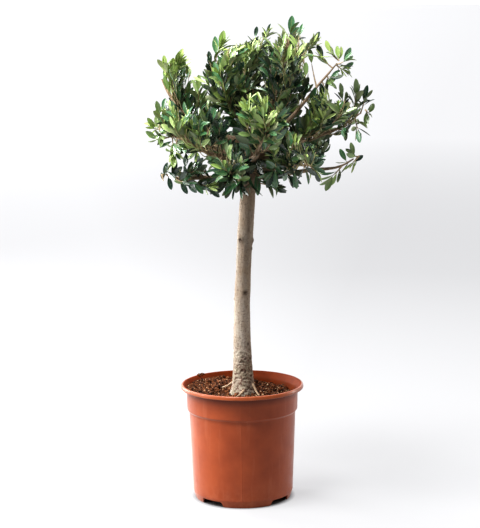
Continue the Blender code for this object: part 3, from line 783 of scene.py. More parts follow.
scatter = scatter_tree()
for row in CRUMB_KINDS:
    scatter_crumbs(open_ground(0.6 * row[4] + WALL_CLEARANCE), *row)
scatter_crumbs(rim_ground(), *RIM_CRUMBS)


# The trunk is one straight bare stem, as thick as a broom handle. It stands upright on its foot, leans more
# and more to the right, swells at the butt into a lobed root flare, and runs on up through the head. The
# bark is pale grey and tan, finely cracked, pitted near the foot, with old pruning knots and a scar.

TRUNK_CLEARANCE = 0.0003
TRUNK_FOOT = SOIL_LEVEL + TRUNK_CLEARANCE
TRUNK_TIP = 0.5810
TRUNK_LEAN = 0.0238
TRUNK_SET_BACK = 0.00145
TRUNK_FOOT_SHIFT = 0.0028
FOOT_SHIFT_END = 0.36
TRUNK_SWAY = 0.0015
TRUNK_SWAY_TURN = 4.2
TRUNK_RADIUS = 0.0112
TRUNK_BUTT = 0.0062
BUTT_FADE = 0.20
TRUNK_SWELLING = 0.0008
SWELLING_MIDDLE = 0.63
SWELLING_SPREAD = 0.08
TRUNK_END_RADIUS = 0.0055
END_TAPER_FROM = 0.76
TRUNK_SIDES = 120
TRUNK_RING_STEP = 0.0011
FLARE_REACH = 0.0068
FLARE_FADE = 0.0120
FLARE_LOBES = 5
FLARE_FIRST_BEARING = 205.0
BARK_CRACK = 0.00040
BARK_LUMP = 0.00055
BARK_GRAIN = 0.00016
PIT_DEPTH = 0.00130
DARK_HOLE = 0.0014
PITTED_HEIGHTS = (0.205, 0.262)
PITTED_BEARING = 305.0
SHADY_BEARING = 338.0
MOSSY_HEIGHTS = (0.266, 0.200)
# Heights over which the head's painted shadow comes in on the bark
CROWN_SHADOW_HEIGHTS = (0.385, 0.470)
BARK_PALE = (0.375, 0.332, 0.278)
BARK_TAN = (0.262, 0.192, 0.130)
BARK_BROWN = (0.092, 0.040, 0.026)
BARK_SHADY = (0.125, 0.084, 0.050)
BARK_HOLLOW = (0.040, 0.022, 0.013)
BARK_MOSS = (0.255, 0.225, 0.155)

# bearing, height, bulge, spread, depth of the hole in its middle
KNOTS = (
    (236.0, 0.4040, 0.0027, 0.0046, 0.0040),
    (346.0, 0.4015, 0.0026, 0.0038, 0.0020),
    (336.0, 0.3895, 0.0018, 0.0028, 0.0022),
    (289.0, 0.3225, 0.0021, 0.0056, 0.0028),
    (188.0, 0.3111, 0.0014, 0.0024, 0.0000),
    (206.0, 0.3547, 0.0006, 0.0022, 0.0016),
    (300.0, 0.2260, 0.0013, 0.0075, 0.0000),
    (312.0, 0.2420, 0.0007, 0.0034, 0.0016),
    (318.0, 0.2335, 0.0006, 0.0030, 0.0014),
    (262.0, 0.2290, 0.0006, 0.0036, 0.0011),
    (322.0, 0.2190, 0.0006, 0.0036, 0.0010),
    (292.0, 0.4190, 0.0007, 0.0036, 0.0007),
)


def bearing_vector(bearing):
    angle = math.radians(bearing)
    return Vector((math.cos(angle), math.sin(angle), 0.0))


def trunk_share(height):
    return (height - TRUNK_FOOT) / (TRUNK_TIP - TRUNK_FOOT)


def trunk_centre(height):
    share = trunk_share(height)
    lean = TRUNK_LEAN * share * share - TRUNK_SET_BACK
    foot = TRUNK_FOOT_SHIFT * (1.0 - blend(0.0, FOOT_SHIFT_END, share))
    return Vector((lean + foot, TRUNK_SWAY * math.sin(TRUNK_SWAY_TURN * share), height))


def trunk_radius(height):
    share = trunk_share(height)
    butt = TRUNK_BUTT * math.exp(-share / BUTT_FADE)
    swelling = TRUNK_SWELLING * math.exp(-(((share - SWELLING_MIDDLE) / SWELLING_SPREAD) ** 2))
    girth = TRUNK_RADIUS + butt + swelling
    return girth + (TRUNK_END_RADIUS - girth) * blend(END_TAPER_FROM, 1.0, share)


def from_knots(height, bearing, radius):
    """How far off each knot is, as a share of its spread, with its bulge and the depth of its hole."""
    for knot_bearing, knot_height, bulge, spread, hole in KNOTS:
        turn = math.radians((bearing - knot_bearing + 180.0) % 360.0 - 180.0)
        yield math.hypot(turn * radius, height - knot_height) / spread, bulge, hole


def knot_relief(height, bearing, radius):
    """The knots' bulges, each with the hole that the old shoot left in its middle."""
    relief = 0.0
    for away, bulge, hole in from_knots(height, bearing, radius):
        if away < 3.0:
            relief += bulge * math.exp(-(away**2)) - hole * math.exp(-((away / 0.36) ** 2))
    return relief


def bark_relief(height, bearing, radius):
    """Long low swellings, fine cracks up and across, and pits that gather on the right of the foot."""
    around = bearing_vector(bearing) * radius
    spot = Vector((around.x, around.y, height))
    lumps = noise.noise(Vector((spot.x * 75.0, spot.y * 75.0, spot.z * 38.0)))
    cracks = abs(noise.noise(Vector((spot.x * 420.0, spot.y * 420.0, spot.z * 130.0))))
    rings = abs(noise.noise(Vector((spot.x * 120.0, spot.y * 120.0, spot.z * 520.0 + 5.0))))
    grain = noise.noise(Vector((spot.x * 800.0, spot.y * 800.0, spot.z * 620.0)))
    low = 1.0 - blend(*PITTED_HEIGHTS, height)
    side = 0.40 + 0.60 * blend(-0.4, 0.8, math.cos(math.radians(bearing - PITTED_BEARING)))
    pits = max(0.0, noise.noise(spot * 300.0 + Vector((3.0, 1.0, 7.0))) - 0.10)
    relief = BARK_LUMP * lumps + BARK_GRAIN * grain
    relief -= BARK_CRACK * (1.0 - blend(0.0, 0.20, cracks))
    relief -= 0.8 * BARK_CRACK * (1.0 - blend(0.0, 0.14, rings))
    return relief + low * side * (0.0008 * lumps - PIT_DEPTH * pits * 2.4)


def knot_mark(height, bearing):
    """How much of a knot's dark hollow is here."""
    mark = 0.0
    for away, bulge, hole in from_knots(height, bearing, trunk_radius(height)):
        mark += min(1.0, hole / DARK_HOLE) * math.exp(-((away / 0.72) ** 2))
    return min(1.0, mark)


def shady_side(height, bearing):
    """Painted shade: the bark is painted browner and darker on the side that is turned from the light, more
    so up to the head.
    """
    turned = max(0.0, math.cos(math.radians(bearing - SHADY_BEARING)))
    return (0.35 + 0.65 * blend(0.30, 0.42, height)) * turned


def trunk_surface(height, bearing):
    rise = height - TRUNK_FOOT
    lobe = 0.55 + 0.45 * math.cos(math.radians(FLARE_LOBES * (bearing - FLARE_FIRST_BEARING)))
    radius = trunk_radius(height) + FLARE_REACH * lobe * math.exp(-rise / FLARE_FADE)
    return radius + knot_relief(height, bearing, radius) + bark_relief(height, bearing, radius)


def trunk_rings():
    steps = round((TRUNK_TIP - TRUNK_FOOT) / TRUNK_RING_STEP)
    rings = [[tuple(trunk_centre(TRUNK_FOOT))]]
    for step in range(steps + 1):
        height = TRUNK_FOOT + (TRUNK_TIP - TRUNK_FOOT) * step / steps
        centre = trunk_centre(height)
        bearings = [360.0 * side / TRUNK_SIDES for side in range(TRUNK_SIDES)]
        outs = [bearing_vector(turn) * trunk_surface(height, turn) for turn in bearings]
        rings.append([tuple(centre + out) for out in outs])
    return rings + [[tuple(trunk_centre(TRUNK_TIP))]]


def painted(tree, name):
    """A mark that was written on the mesh's points; nothing where the mesh has none."""
    attribute = tree.nodes.new("ShaderNodeAttribute")
    attribute.attribute_name = name
    return attribute.outputs["Fac"]


def bark(name, pale, tan, brown, moss, scale=1.0):
    """Cloudy pale and tan bark, with brown specks and short cracks, greener and pitted near the foot."""
    material, shader = new_material(name, pale, 0.80, 0.30)
    tree = material.node_tree
    clouds = eased(tree, noise_of(tree, 46.0 * scale, 5.0, 0.65, (1.0, 1.0, 0.45)), 0.36, 0.64)
    base = mixed(tree, clouds, tan, pale)
    specks = eased(tree, noise_of(tree, 330.0 * scale, 5.0, 0.75), 0.53, 0.66)
    across = eased(tree, noise_of(tree, 160.0 * scale, 4.0, 0.7, (1.0, 1.0, 3.4)), 0.56, 0.68)
    marks = combined(tree, combined(tree, specks, 0.75), combined(tree, across, 0.65), "MAXIMUM")
    flecked = mixed(tree, marks, base, brown)
    low = eased(tree, height_in_piece(tree), *MOSSY_HEIGHTS)
    mossy = combined(tree, low, eased(tree, noise_of(tree, 80.0, 5.0, 0.65), 0.42, 0.60))
    greened = mixed(tree, combined(tree, mossy, 0.60), flecked, moss)
    # Painted shadow of the head: the bark is mixed towards tan up under it, and on the boughs inside it
    crown_shadow = eased(tree, height_in_piece(tree), *CROWN_SHADOW_HEIGHTS, 0.0, 0.40)
    crown_shaded = mixed(tree, crown_shadow, greened, tan)
    # Painted shade on the side of the trunk that is turned from the light
    shaded = mixed(tree, combined(tree, painted(tree, "shady"), 0.55), crown_shaded, BARK_SHADY)
    pits = eased(tree, noise_of(tree, 235.0 * scale, 3.0, 0.65), 0.53, 0.61)
    pitted = mixed(tree, combined(tree, pits, eased(tree, low, 0.0, 1.0, 0.10, 0.92)), shaded, brown)
    knotted = mixed(tree, combined(tree, painted(tree, "knot"), 0.92), pitted, BARK_HOLLOW)
    tree.links.new(knotted, shader.inputs["Base Color"])
    fine = noise_of(tree, 620.0 * scale, 6.0, 0.7, (1.0, 1.0, 1.5))
    tree.links.new(eased(tree, fine, 0.3, 0.7, 0.62, 0.92), shader.inputs["Roughness"])
    raise_grain(tree, shader, fine, 0.0012, 0.9)
    return material


def paint(mesh, name, mark_at):
    """Writes a mark on each of the trunk's points, from its height and bearing."""
    marks = []
    for vertex in mesh.vertices:
        aside = vertex.co - trunk_centre(vertex.co.z)
        marks.append(mark_at(vertex.co.z, math.degrees(math.atan2(aside.y, aside.x)) % 360.0))
    mesh.attributes.new(name, "FLOAT", "POINT").data.foreach_set("value", marks)


trunk = link_piece("trunk_bark", ring_mesh("trunk_bark", trunk_rings()))
paint(trunk.data, "knot", knot_mark)
paint(trunk.data, "shady", shady_side)
trunk.data.materials.append(bark("trunk_bark", BARK_PALE, BARK_TAN, BARK_BROWN, BARK_MOSS))
trunk.data.shade_smooth()
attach(trunk, "root")
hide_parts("trunk")


# The limbs fork from the trunk's top all round, in three tiers, and curve out and up. Each is one tapering
# bough that goes on as the leafy stem of its mass. Young wood is smoother and browner than the trunk.

# name, height on the trunk, bearing, reach of the tip, height of the tip, how far it spreads before it
# rises (0 to 1), share of its length that is bare bough, how full of leaves its mass is (1 is a full one)
LIMBS = (
    ("lower_left", 0.4980, 187.0, 0.132, 0.509, 0.95, 0.32, 1.25),
    ("front_low", 0.5010, 255.0, 0.138, 0.524, 0.60, 0.30, 1.00),
    ("front_right", 0.5130, 312.0, 0.162, 0.534, 0.60, 0.34, 1.35),
    ("lower_right", 0.5010, 352.0, 0.177, 0.535, 0.75, 0.38, 1.05),
    ("back_right", 0.5010, 48.0, 0.164, 0.536, 0.60, 0.34, 0.60),
    ("back_low", 0.5050, 112.0, 0.144, 0.524, 0.60, 0.30, 0.90),
    ("far_left", 0.5310, 172.0, 0.156, 0.588, 0.60, 0.34, 1.45),
    ("front_left", 0.5190, 226.0, 0.156, 0.582, 0.60, 0.34, 1.15),
    ("front", 0.5240, 280.0, 0.164, 0.596, 0.60, 0.34, 1.00),
    ("front_outer_right", 0.5360, 326.0, 0.180, 0.612, 0.60, 0.38, 0.80),
    ("right", 0.5260, 8.0, 0.201, 0.606, 0.55, 0.40, 0.80),
    ("back", 0.5160, 72.0, 0.170, 0.600, 0.60, 0.34, 0.90),
    ("back_left", 0.5250, 130.0, 0.160, 0.582, 0.60, 0.34, 1.00),
    ("upper_left", 0.5520, 181.0, 0.138, 0.682, 0.80, 0.38, 1.25),
    ("front_top", 0.5430, 248.0, 0.118, 0.684, 0.55, 0.34, 1.00),
    ("front_upper_right", 0.5550, 303.0, 0.142, 0.678, 0.55, 0.34, 0.90),
    ("upper_right", 0.5450, 351.0, 0.158, 0.696, 0.50, 0.38, 0.45),
    ("back_upper_right", 0.5570, 42.0, 0.146, 0.680, 0.55, 0.34, 0.60),
    ("back_top", 0.5450, 100.0, 0.120, 0.686, 0.55, 0.34, 0.90),
    ("top_left", 0.5630, 200.0, 0.076, 0.720, 0.60, 0.38, 0.85),
    ("top_right", 0.5650, 350.0, 0.071, 0.7455, 0.60, 0.40, 0.70),
    ("heart", 0.5810, 100.0, 0.026, 0.676, 0.30, 0.00, 0.80),
    ("top_front", 0.5680, 266.0, 0.062, 0.726, 0.60, 0.40, 0.75),
    ("top_back", 0.5610, 85.0, 0.064, 0.724, 0.60, 0.40, 0.80),
)
HEAD_AXIS = 0.0115
LEAF_ROOM = 0.050
ROOM_RADIUS = 0.070
LIMB_SWAY = 0.0030
LIMB_STEPS = 30
LIMB_SIDES = 10
LIMB_KNOBS = 0.0016
LIMB_KNOB_SCALE = 130.0
LIMB_BARK_FINENESS = 1.6
COLLAR_SWELL = 0.0016
COLLAR_LENGTH = 0.016
BOUGH_RADIUS = 0.0042
BOUGH_TIP_RADIUS = 0.0026
STEM_RADIUS = 0.0024
STEM_TIP_RADIUS = 0.0010
LIMB_PALE = (0.380, 0.290, 0.200)
LIMB_TAN = (0.240, 0.165, 0.105)
LIMB_BROWN = (0.085, 0.050, 0.030)


def curve_point(guides, share):
    first, second, third, last = guides
    left = 1.0 - share
    return (
        first * left**3
        + second * (3.0 * left * left * share)
        + third * (3.0 * left * share * share)
        + last * share**3
    )


class Limb:
    """One limb: a line from the middle of the trunk to the tip of its last leaf."""

    def __init__(self, number, row):
        self.name, join, self.bearing, reach, tip_height, spread, self.bare, self.fullness = row
        self.number = number
        self.join = join
        start = trunk_centre(join)
        out = bearing_vector(self.bearing)
        tip = Vector((HEAD_AXIS, start.y, tip_height)) + out * reach
        rise = Vector((0.0, 0.0, tip_height - join))
        near = start + out * reach * spread + rise * 0.6 * (1.0 - spread)
        far = tip - (out * reach * (1.0 - spread) + rise * spread) * 0.5
        self.guides = (start, near, far, tip)
        self.length = (tip - start).length
        # The stem stops a leaf's reach short of the tip, so that its last leaves end there.
        self.stem_to = 1.0 - 0.80 * LEAF_ROOM / self.length
        self.centre = tip - (tip - far).normalized() * ROOM_RADIUS * 0.92
        self.thick = BOUGH_RADIUS * (0.80 + 1.6 * reach)

    def point(self, share):
        """The limb's middle line with a gentle sway across it."""
        phase = 1.7 * self.number
        across = bearing_vector(self.bearing + 90.0)
        lift = Vector((0.0, 0.0, 0.6))
        sway = across * math.sin(9.0 * share + phase) + lift * math.sin(11.0 * share + phase)
        return curve_point(self.guides, share) + sway * LIMB_SWAY * blend(0.05, 0.35, share)

    def direction(self, share):
        return (self.point(share + 0.01) - self.point(share - 0.01)).normalized()

    def radius(self, share):
        """The bough's even taper, with a collar where it leaves the trunk, and then the stem's."""
        if share < self.bare:
            collar = COLLAR_SWELL * math.exp(-share * self.length / COLLAR_LENGTH)
            return self.thick + (BOUGH_TIP_RADIUS - self.thick) * share / self.bare + collar
        part = (share - self.bare) / (self.stem_to - self.bare)
        first = BOUGH_TIP_RADIUS if self.bare else STEM_RADIUS
        return first + (STEM_TIP_RADIUS - first) * part

    def line(self):
        shares = [self.stem_to * step / LIMB_STEPS for step in range(LIMB_STEPS + 1)]
        return [(self.point(share), self.radius(share)) for share in shares]


def lines_mesh(name, lines):
    """Each line of points with a girth becomes a chain of edges, for a Geometry Nodes tree to thicken."""
    verts, edges, girths = [], [], []
    for line in lines:
        first = len(verts)
        verts.extend(tuple(point) for point, girth in line)
        girths.extend(girth for point, girth in line)
        edges.extend((i, i + 1) for i in range(first, len(verts) - 1))
    mesh = bpy.data.meshes.new(name)
    mesh.from_pydata(verts, edges, [])
    mesh.attributes.new("girth", "FLOAT", "POINT").data.foreach_set("value", girths)
    return mesh


def limb_tree():
    """Thickens each chain of edges to a round limb of its girth, with the bark's knobs pushed out of it."""
    tree = Tree("grow_limbs")
    sides = tree.size("Sides", "Int")
    knobs = tree.size("Knobs", "Float")
    knob_scale = tree.size("Knob Scale", "Float")
    finish = tree.size("Finish", "Material")
    curves = tree.add("GeometryNodeMeshToCurve", Mesh=tree.inlet.outputs["Geometry"])
    ring = tree.add("GeometryNodeCurvePrimitiveCircle", Resolution=sides, Radius=1.0)
    girth = tree.named("girth")
    tube = tree.add("GeometryNodeCurveToMesh", Curve=curves, Profile_Curve=ring, Scale=girth, Fill_Caps=True)
    lump = tree.add("ShaderNodeTexNoise", Scale=knob_scale, Detail=3.0)
    height = combined(tree.group, combined(tree.group, lump, 0.5, "SUBTRACT"), knobs)
    normal = tree.add("GeometryNodeInputNormal")
    push = tree.add("ShaderNodeVectorMath", settings={"operation": "SCALE"}, Vector=normal, Scale=height)
    rough = tree.add("GeometryNodeSetPosition", Geometry=tube, Offset=push)
    smooth = tree.add("GeometryNodeSetShadeSmooth", Geometry=rough, Shade_Smooth=True)
    real = tree.add("GeometryNodeRealizeInstances", Geometry=smooth)
    tree.finish(tree.add("GeometryNodeSetMaterial", Geometry=real, Material=finish))
    return tree


limbs = [Limb(number, row) for number, row in enumerate(LIMBS)]
limb_bark = bark("bough_bark", LIMB_PALE, LIMB_TAN, LIMB_BROWN, LIMB_PALE, LIMB_BARK_FINENESS)
thicken = limb_tree()

boughs = link_piece("boughs", lines_mesh("boughs", [limb.line() for limb in limbs]))
thicken.grow(boughs, Sides=LIMB_SIDES, Knobs=LIMB_KNOBS, Knob_Scale=LIMB_KNOB_SCALE, Finish=limb_bark)
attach(boughs, "root")
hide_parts(*[f"bough_{limb.name}" for limb in limbs if limb.bare])


# Three thin surface roots run from the trunk's flare over the soil, pale where they are rubbed. They are
# round, taper evenly, and dip into the mix at their ends.

ROOT_STEPS = 14
ROOT_SIDES = 8
ROOT_KNOBS = 0.0014
ROOT_KNOB_SCALE = 260.0
ROOT_COLOUR = (0.34, 0.25, 0.165)
ROOT_DULL = LIMB_TAN

# Girth at the thick end and at the thin one, then four guide points as x, y and height
ROOTS = (
    (
        0.0022, 0.0010,
        (-0.0125, 0.001, 0.1815), (-0.020, 0.008, 0.1735), (-0.026, 0.016, 0.1685), (-0.033, 0.025, 0.166),
    ),
    (
        0.0022, 0.0009,
        (0.0043, -0.0155, 0.174), (0.0005, -0.022, 0.168), (-0.004, -0.028, 0.166), (-0.010, -0.034, 0.164),
    ),
    (
        0.0024, 0.0010,
        (0.0155, -0.007, 0.179), (0.020, -0.013, 0.1715), (0.0225, -0.019, 0.167), (0.026, -0.028, 0.165),
    ),
)


def tapered(point_at, steps, girth, end_girth):
    """A line of points with their girths, which go evenly from one to the other."""
    shares = [step / steps for step in range(steps + 1)]
    return [(point_at(share), girth + (end_girth - girth) * share) for share in shares]


def root_line(girth, end_girth, *guides):
    guides = [Vector(guide) for guide in guides]
    return tapered(lambda share: curve_point(guides, share), ROOT_STEPS, girth, end_girth)


def root_bark():
    material, shader = new_material("root_bark", ROOT_COLOUR, 0.8, 0.3)
    tree = material.node_tree
    rubbed = eased(tree, noise_of(tree, 240.0, 4.0), 0.42, 0.62)
    tree.links.new(mixed(tree, rubbed, ROOT_DULL, ROOT_COLOUR), shader.inputs["Base Color"])
    raise_grain(tree, shader, noise_of(tree, 800.0, 4.0), 0.0004, 0.6)
    return material


roots = link_piece("surface_roots", lines_mesh("surface_roots", [root_line(*row) for row in ROOTS]))
thicken.grow(roots, Sides=ROOT_SIDES, Knobs=ROOT_KNOBS, Knob_Scale=ROOT_KNOB_SCALE, Finish=root_bark())
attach(roots, "root")


# Each mass of foliage grows on from its limb: side shoots turned by the golden angle, with finer shoots of
# their own, that bend up to the light and carry leaves in opposite pairs. It keeps to its own room in the
# head. The result is a list of lines for the shoots, and a list of places for each kind of leaf.

SEED = 11
GOLDEN_ANGLE = 137.5

# The head's round shape, and the room that each mass may fill in it
HEAD_MIDDLE = 0.032
HEAD_RADIUS = 0.1765
HEAD_FLOOR = 0.4660
HEAD_TOP = 0.7435
HEAD_WIDEST = 0.6000
HEAD_SQUARENESS = 2.6
ROOM_SLACK = 0.0040
ROOM_REACH = 0.0860
LIMB_MARGIN = 0.0004
TRUNK_MARGIN = 0.0008
BARE_TRUNK_TOP = 0.44
BAR_STEPS = 10

# Shoots along a limb, and the finer ones on them. A try that doesn't fit is followed by a shorter one.
SHOOTS_PER_LIMB = 11
SHOOT_FROM = 0.13
HEART_SHOOT_FROM = 0.12
SHOOT_LENGTH = 0.052
SHOOT_ANGLE = 39.0
SHOOT_ANGLE_JITTER = 12.0
SHOOT_LENGTH_SPREAD = (0.8, 1.2)
SHOOT_STEPS = 6
SHOOT_GIRTH = 0.00125
SHOOT_TIP_GIRTH = 0.00055
SHOOT_TRIES = 8
SHOOT_BEND = 0.16
LIGHT_PULL = 1.0
GROWING_SHARE = 0.10
FINE_SHOOTS = 2
FINE_SHOOT_LENGTH = 0.030
FINE_LENGTH_SPREAD = (0.75, 1.2)
FINE_SHOOT_ANGLE = 50.0
FINE_SHOOT_TRIES = 6
FINE_SHOOT_GIRTH = 0.72
FINE_LEAF_SIZE = 0.94
SHORTER_EACH_TRY = 0.08
STEM_TOP = 0.16
STEM_GROWING_SHARE = 0.3

# Sprays that reach a given tip
LEADER_GIRTH = 1.15 * SHOOT_GIRTH
LEADER_ROOM = 0.030
LEADER_SAG = 0.10
LEADER_LEAVES_FROM = 0.30
LEADER_GROWING_SHARE = 0.2
LAST_LEAF_SIZE = 0.85
LAST_LEAF_WIDTH = 1.08

# The skirt of short hanging shoots round the trunk, under the lowest boughs
SKIRT_SHOOTS = 26
SKIRT_LOW = 0.490
SKIRT_HIGH = 0.536
SKIRT_TURN_JITTER = 9.0
SKIRT_DIP = -0.15
SKIRT_PULL = -0.1
SKIRT_LENGTH = 0.018
SKIRT_LENGTH_SPREAD = (0.7, 1.8)
SKIRT_LEAF_SIZE = 1.34
SKIRT_DROOP = 0.75
SKIRT_ROOM = 0.10
LOW_LIMBS = 8

# Leaves along a shoot, and those at its tip: three, or a tuft where it still grows
LEAF_RISE = 0.30
LEAF_ANGLE = 50.0
LEAF_ANGLE_LOST = 24.0
LEAF_ANGLE_JITTER = 14.0
LEAF_TURN_JITTER = 16.0
PAIR_TURN_JITTER = 12.0
LEAF_ROLL = 33.0
TURNED_OVER = 0.12
DARKER_SHARE = 0.8
PALER_SHARE = 0.32
TIP_PALER_SHARE = 0.5
DRESSED_TO = 0.97
NODE_SPACING = 0.0078
NODE_SPREAD = (0.85, 1.2)
LEAF_LENGTH = 0.0292
LENGTH_SPREAD = (0.82, 1.15)
LEAF_APART = 0.0054
WIDTH_SPREAD = (0.72, 1.12)
MIDDLE_CLEARANCE = 0.0022
TIP_CLEARANCE = 0.0008
MIDDLE_STRAY = 0.004
TIP_STRAY = 0.006
TIP_LENGTH_SPREAD = (0.60, 0.85)
TIP_LEAVES = 3
TIP_LEAF_WIDTH = 0.88
TUFT_LEAVES = 8
TUFT_WIDTH = 0.62
TUFT_SPACING = 0.0009

# The leaves' kinds, from the oldest and darkest to the youngest and palest
KINDS = ("deep", "green", "olive", "fresh", "young")

# How pale each kind's palest leaves are, up to about 1. Those that are paler still are "fresh".
KIND_PALENESS = (("deep", 0.50), ("green", 0.76), ("olive", 0.96))
# Paleness grows with how far out and how high a leaf sits: partly the leaves' age, partly painted light and
# shade
PALENESS_OUTWARD = 0.50
PALENESS_UPWARD = 0.56
PALENESS_SPREAD = 0.20

# The blades that the leaves are given by chance: where it is widest, how blunt its tip is, fold along its
# rib, droop of its tip, degrees of twist
BLADES = (
    (0.56, 0.60, 0.30, 0.10, 0.0),
    (0.62, 0.56, 0.42, 0.20, 10.0),
    (0.52, 0.66, 0.22, -0.05, -12.0),
    (0.60, 0.58, 0.50, 0.28, -8.0),
    (0.55, 0.70, 0.36, 0.06, 18.0),
)

# Single sprays on the boughs in front, some of which stand out of the head: the limb that they leave,
# share along it, their tip, size of their leaves
LEADERS = (
    ("far_left", 0.60, (-0.140, -0.020, 0.571), 0.95),
    ("far_left", 0.74, (-0.138, -0.008, 0.590), 0.90),
    ("far_left", 0.66, (-0.124, -0.020, 0.616), 0.90),
    ("far_left", 0.80, (-0.118, -0.026, 0.550), 0.95),
    ("far_left", 0.62, (-0.100, -0.034, 0.534), 1.00),
    ("far_left", 0.48, (-0.083, -0.030, 0.540), 1.00),
    ("far_left", 0.36, (-0.064, -0.040, 0.524), 1.00),
    ("upper_left", 0.66, (-0.112, -0.012, 0.684), 0.85),
    ("upper_left", 0.72, (-0.084, -0.030, 0.694), 1.05),
    ("upper_left", 0.60, (-0.098, -0.030, 0.672), 0.95),
    ("upper_left", 0.50, (-0.112, -0.020, 0.652), 0.95),
    ("upper_left", 0.42, (-0.094, -0.030, 0.640), 0.95),
    ("upper_left", 0.36, (-0.078, -0.036, 0.622), 1.00),
    ("upper_left", 0.32, (-0.060, -0.040, 0.655), 1.00),
    ("front_left", 0.50, (-0.036, -0.075, 0.612), 1.05),
    ("front_left", 0.44, (-0.018, -0.080, 0.592), 1.05),
    ("front_top", 0.34, (-0.022, -0.070, 0.625), 1.05),
    ("top_left", 0.52, (-0.045, -0.030, 0.690), 0.80),
    ("top_left", 0.66, (-0.022, -0.035, 0.720), 1.15),
    ("top_left", 0.58, (-0.048, -0.030, 0.672), 0.80),
    ("top_front", 0.62, (0.027, -0.040, 0.726), 0.70),
    ("top_back", 0.60, (0.048, 0.020, 0.729), 0.75),
    ("top_right", 0.66, (0.080, -0.010, 0.7410), 1.15),
    ("top_right", 0.58, (0.097, 0.010, 0.729), 0.80),
    ("top_right", 0.52, (0.120, -0.020, 0.717), 0.80),
    ("upper_right", 0.84, (0.129, -0.022, 0.704), 0.85),
    ("upper_right", 0.84, (0.146, -0.022, 0.696), 0.80),
    ("upper_right", 0.80, (0.166, -0.030, 0.693), 0.95),
    ("upper_right", 0.80, (0.171, -0.020, 0.671), 0.80),
    ("upper_right", 0.62, (0.145, -0.020, 0.651), 0.95),
    ("upper_right", 0.56, (0.106, -0.012, 0.692), 0.95),
    ("upper_right", 0.42, (0.100, -0.020, 0.672), 0.90),
    ("right", 0.50, (0.122, -0.030, 0.640), 0.95),
    ("right", 0.66, (0.152, -0.015, 0.640), 0.90),
    ("right", 0.72, (0.176, -0.010, 0.646), 1.05),
    ("right", 0.80, (0.192, -0.006, 0.636), 0.85),
    ("right", 0.86, (0.203, 0.000, 0.607), 0.85),
    ("right", 0.62, (0.156, -0.026, 0.562), 1.00),
    ("right", 0.74, (0.180, -0.020, 0.552), 0.95),
    ("lower_right", 0.72, (0.150, -0.020, 0.542), 0.90),
    ("lower_right", 0.84, (0.166, -0.030, 0.552), 0.85),
    ("lower_right", 0.88, (0.186, -0.020, 0.532), 0.80),
    ("lower_right", 0.60, (0.128, -0.030, 0.480), 1.05),
    ("front_right", 0.72, (0.118, -0.080, 0.498), 1.00),
    ("front_right", 0.30, (0.052, -0.060, 0.520), 1.10),
    ("front_right", 0.44, (0.080, -0.080, 0.535), 1.05),
    ("front_right", 0.60, (0.100, -0.090, 0.545), 1.05),
    ("front_right", 0.24, (0.040, -0.055, 0.488), 1.10),
    ("lower_left", 0.90, (-0.119, -0.018, 0.509), 0.55),
    ("lower_left", 0.64, (-0.104, -0.026, 0.484), 0.90),
    ("lower_left", 0.50, (-0.080, -0.030, 0.478), 0.95),
    ("lower_left", 0.40, (-0.056, -0.030, 0.478), 0.95),
    ("lower_left", 0.60, (-0.096, -0.012, 0.526), 1.00),
    ("lower_left", 0.40, (-0.072, -0.012, 0.524), 1.00),
    ("lower_left", 0.48, (-0.056, -0.040, 0.532), 1.05),
    ("lower_left", 0.70, (-0.098, -0.034, 0.500), 0.90),
    ("lower_left", 0.78, (-0.110, -0.020, 0.524), 0.95),
    ("lower_left", 0.66, (-0.088, -0.026, 0.518), 1.00),
    ("lower_left", 0.54, (-0.074, -0.030, 0.508), 1.00),
    ("lower_left", 0.34, (-0.032, -0.044, 0.474), 1.00),
    ("lower_left", 0.56, (-0.066, -0.050, 0.482), 0.95),
    ("upper_right", 0.76, (0.117, -0.018, 0.698), 0.95),
    ("upper_right", 0.68, (0.150, -0.020, 0.660), 0.85),
    ("upper_right", 0.52, (0.090, -0.020, 0.652), 0.95),
    ("upper_right", 0.44, (0.114, -0.026, 0.634), 0.95),
    ("far_left", 0.56, (-0.100, -0.036, 0.519), 1.00),
    ("far_left", 0.44, (-0.082, -0.034, 0.521), 0.95),
)

# The head's leafy outline as seen from the front, as x and height on the plane through the trunk. Only the
# sprays that are listed above and the skirt of large leaves below reach out of it, and the sky shows
# between them.
HEAD_OUTLINE = (
    (-0.113, 0.672), (-0.092, 0.683), (-0.074, 0.668), (-0.059, 0.655), (-0.044, 0.668), (-0.029, 0.684),
    (-0.008, 0.699), (0.022, 0.709), (0.052, 0.716), (0.092, 0.716), (0.104, 0.706), (0.102, 0.688),
    (0.098, 0.668), (0.102, 0.653), (0.116, 0.638), (0.139, 0.615), (0.167, 0.613), (0.186, 0.606),
    (0.190, 0.592), (0.174, 0.577), (0.166, 0.560), (0.156, 0.550), (0.164, 0.538), (0.150, 0.524),
    (0.116, 0.513), (0.090, 0.516), (0.076, 0.492), (0.071, 0.472), (0.058, 0.467), (0.040, 0.475),
    (0.030, 0.466), (0.000, 0.477), (-0.020, 0.484), (-0.050, 0.476), (-0.095, 0.478), (-0.105, 0.500),
    (-0.090, 0.528), (-0.111, 0.547), (-0.122, 0.570), (-0.122, 0.600), (-0.112, 0.625), (-0.102, 0.640),
    (-0.111, 0.656),
)

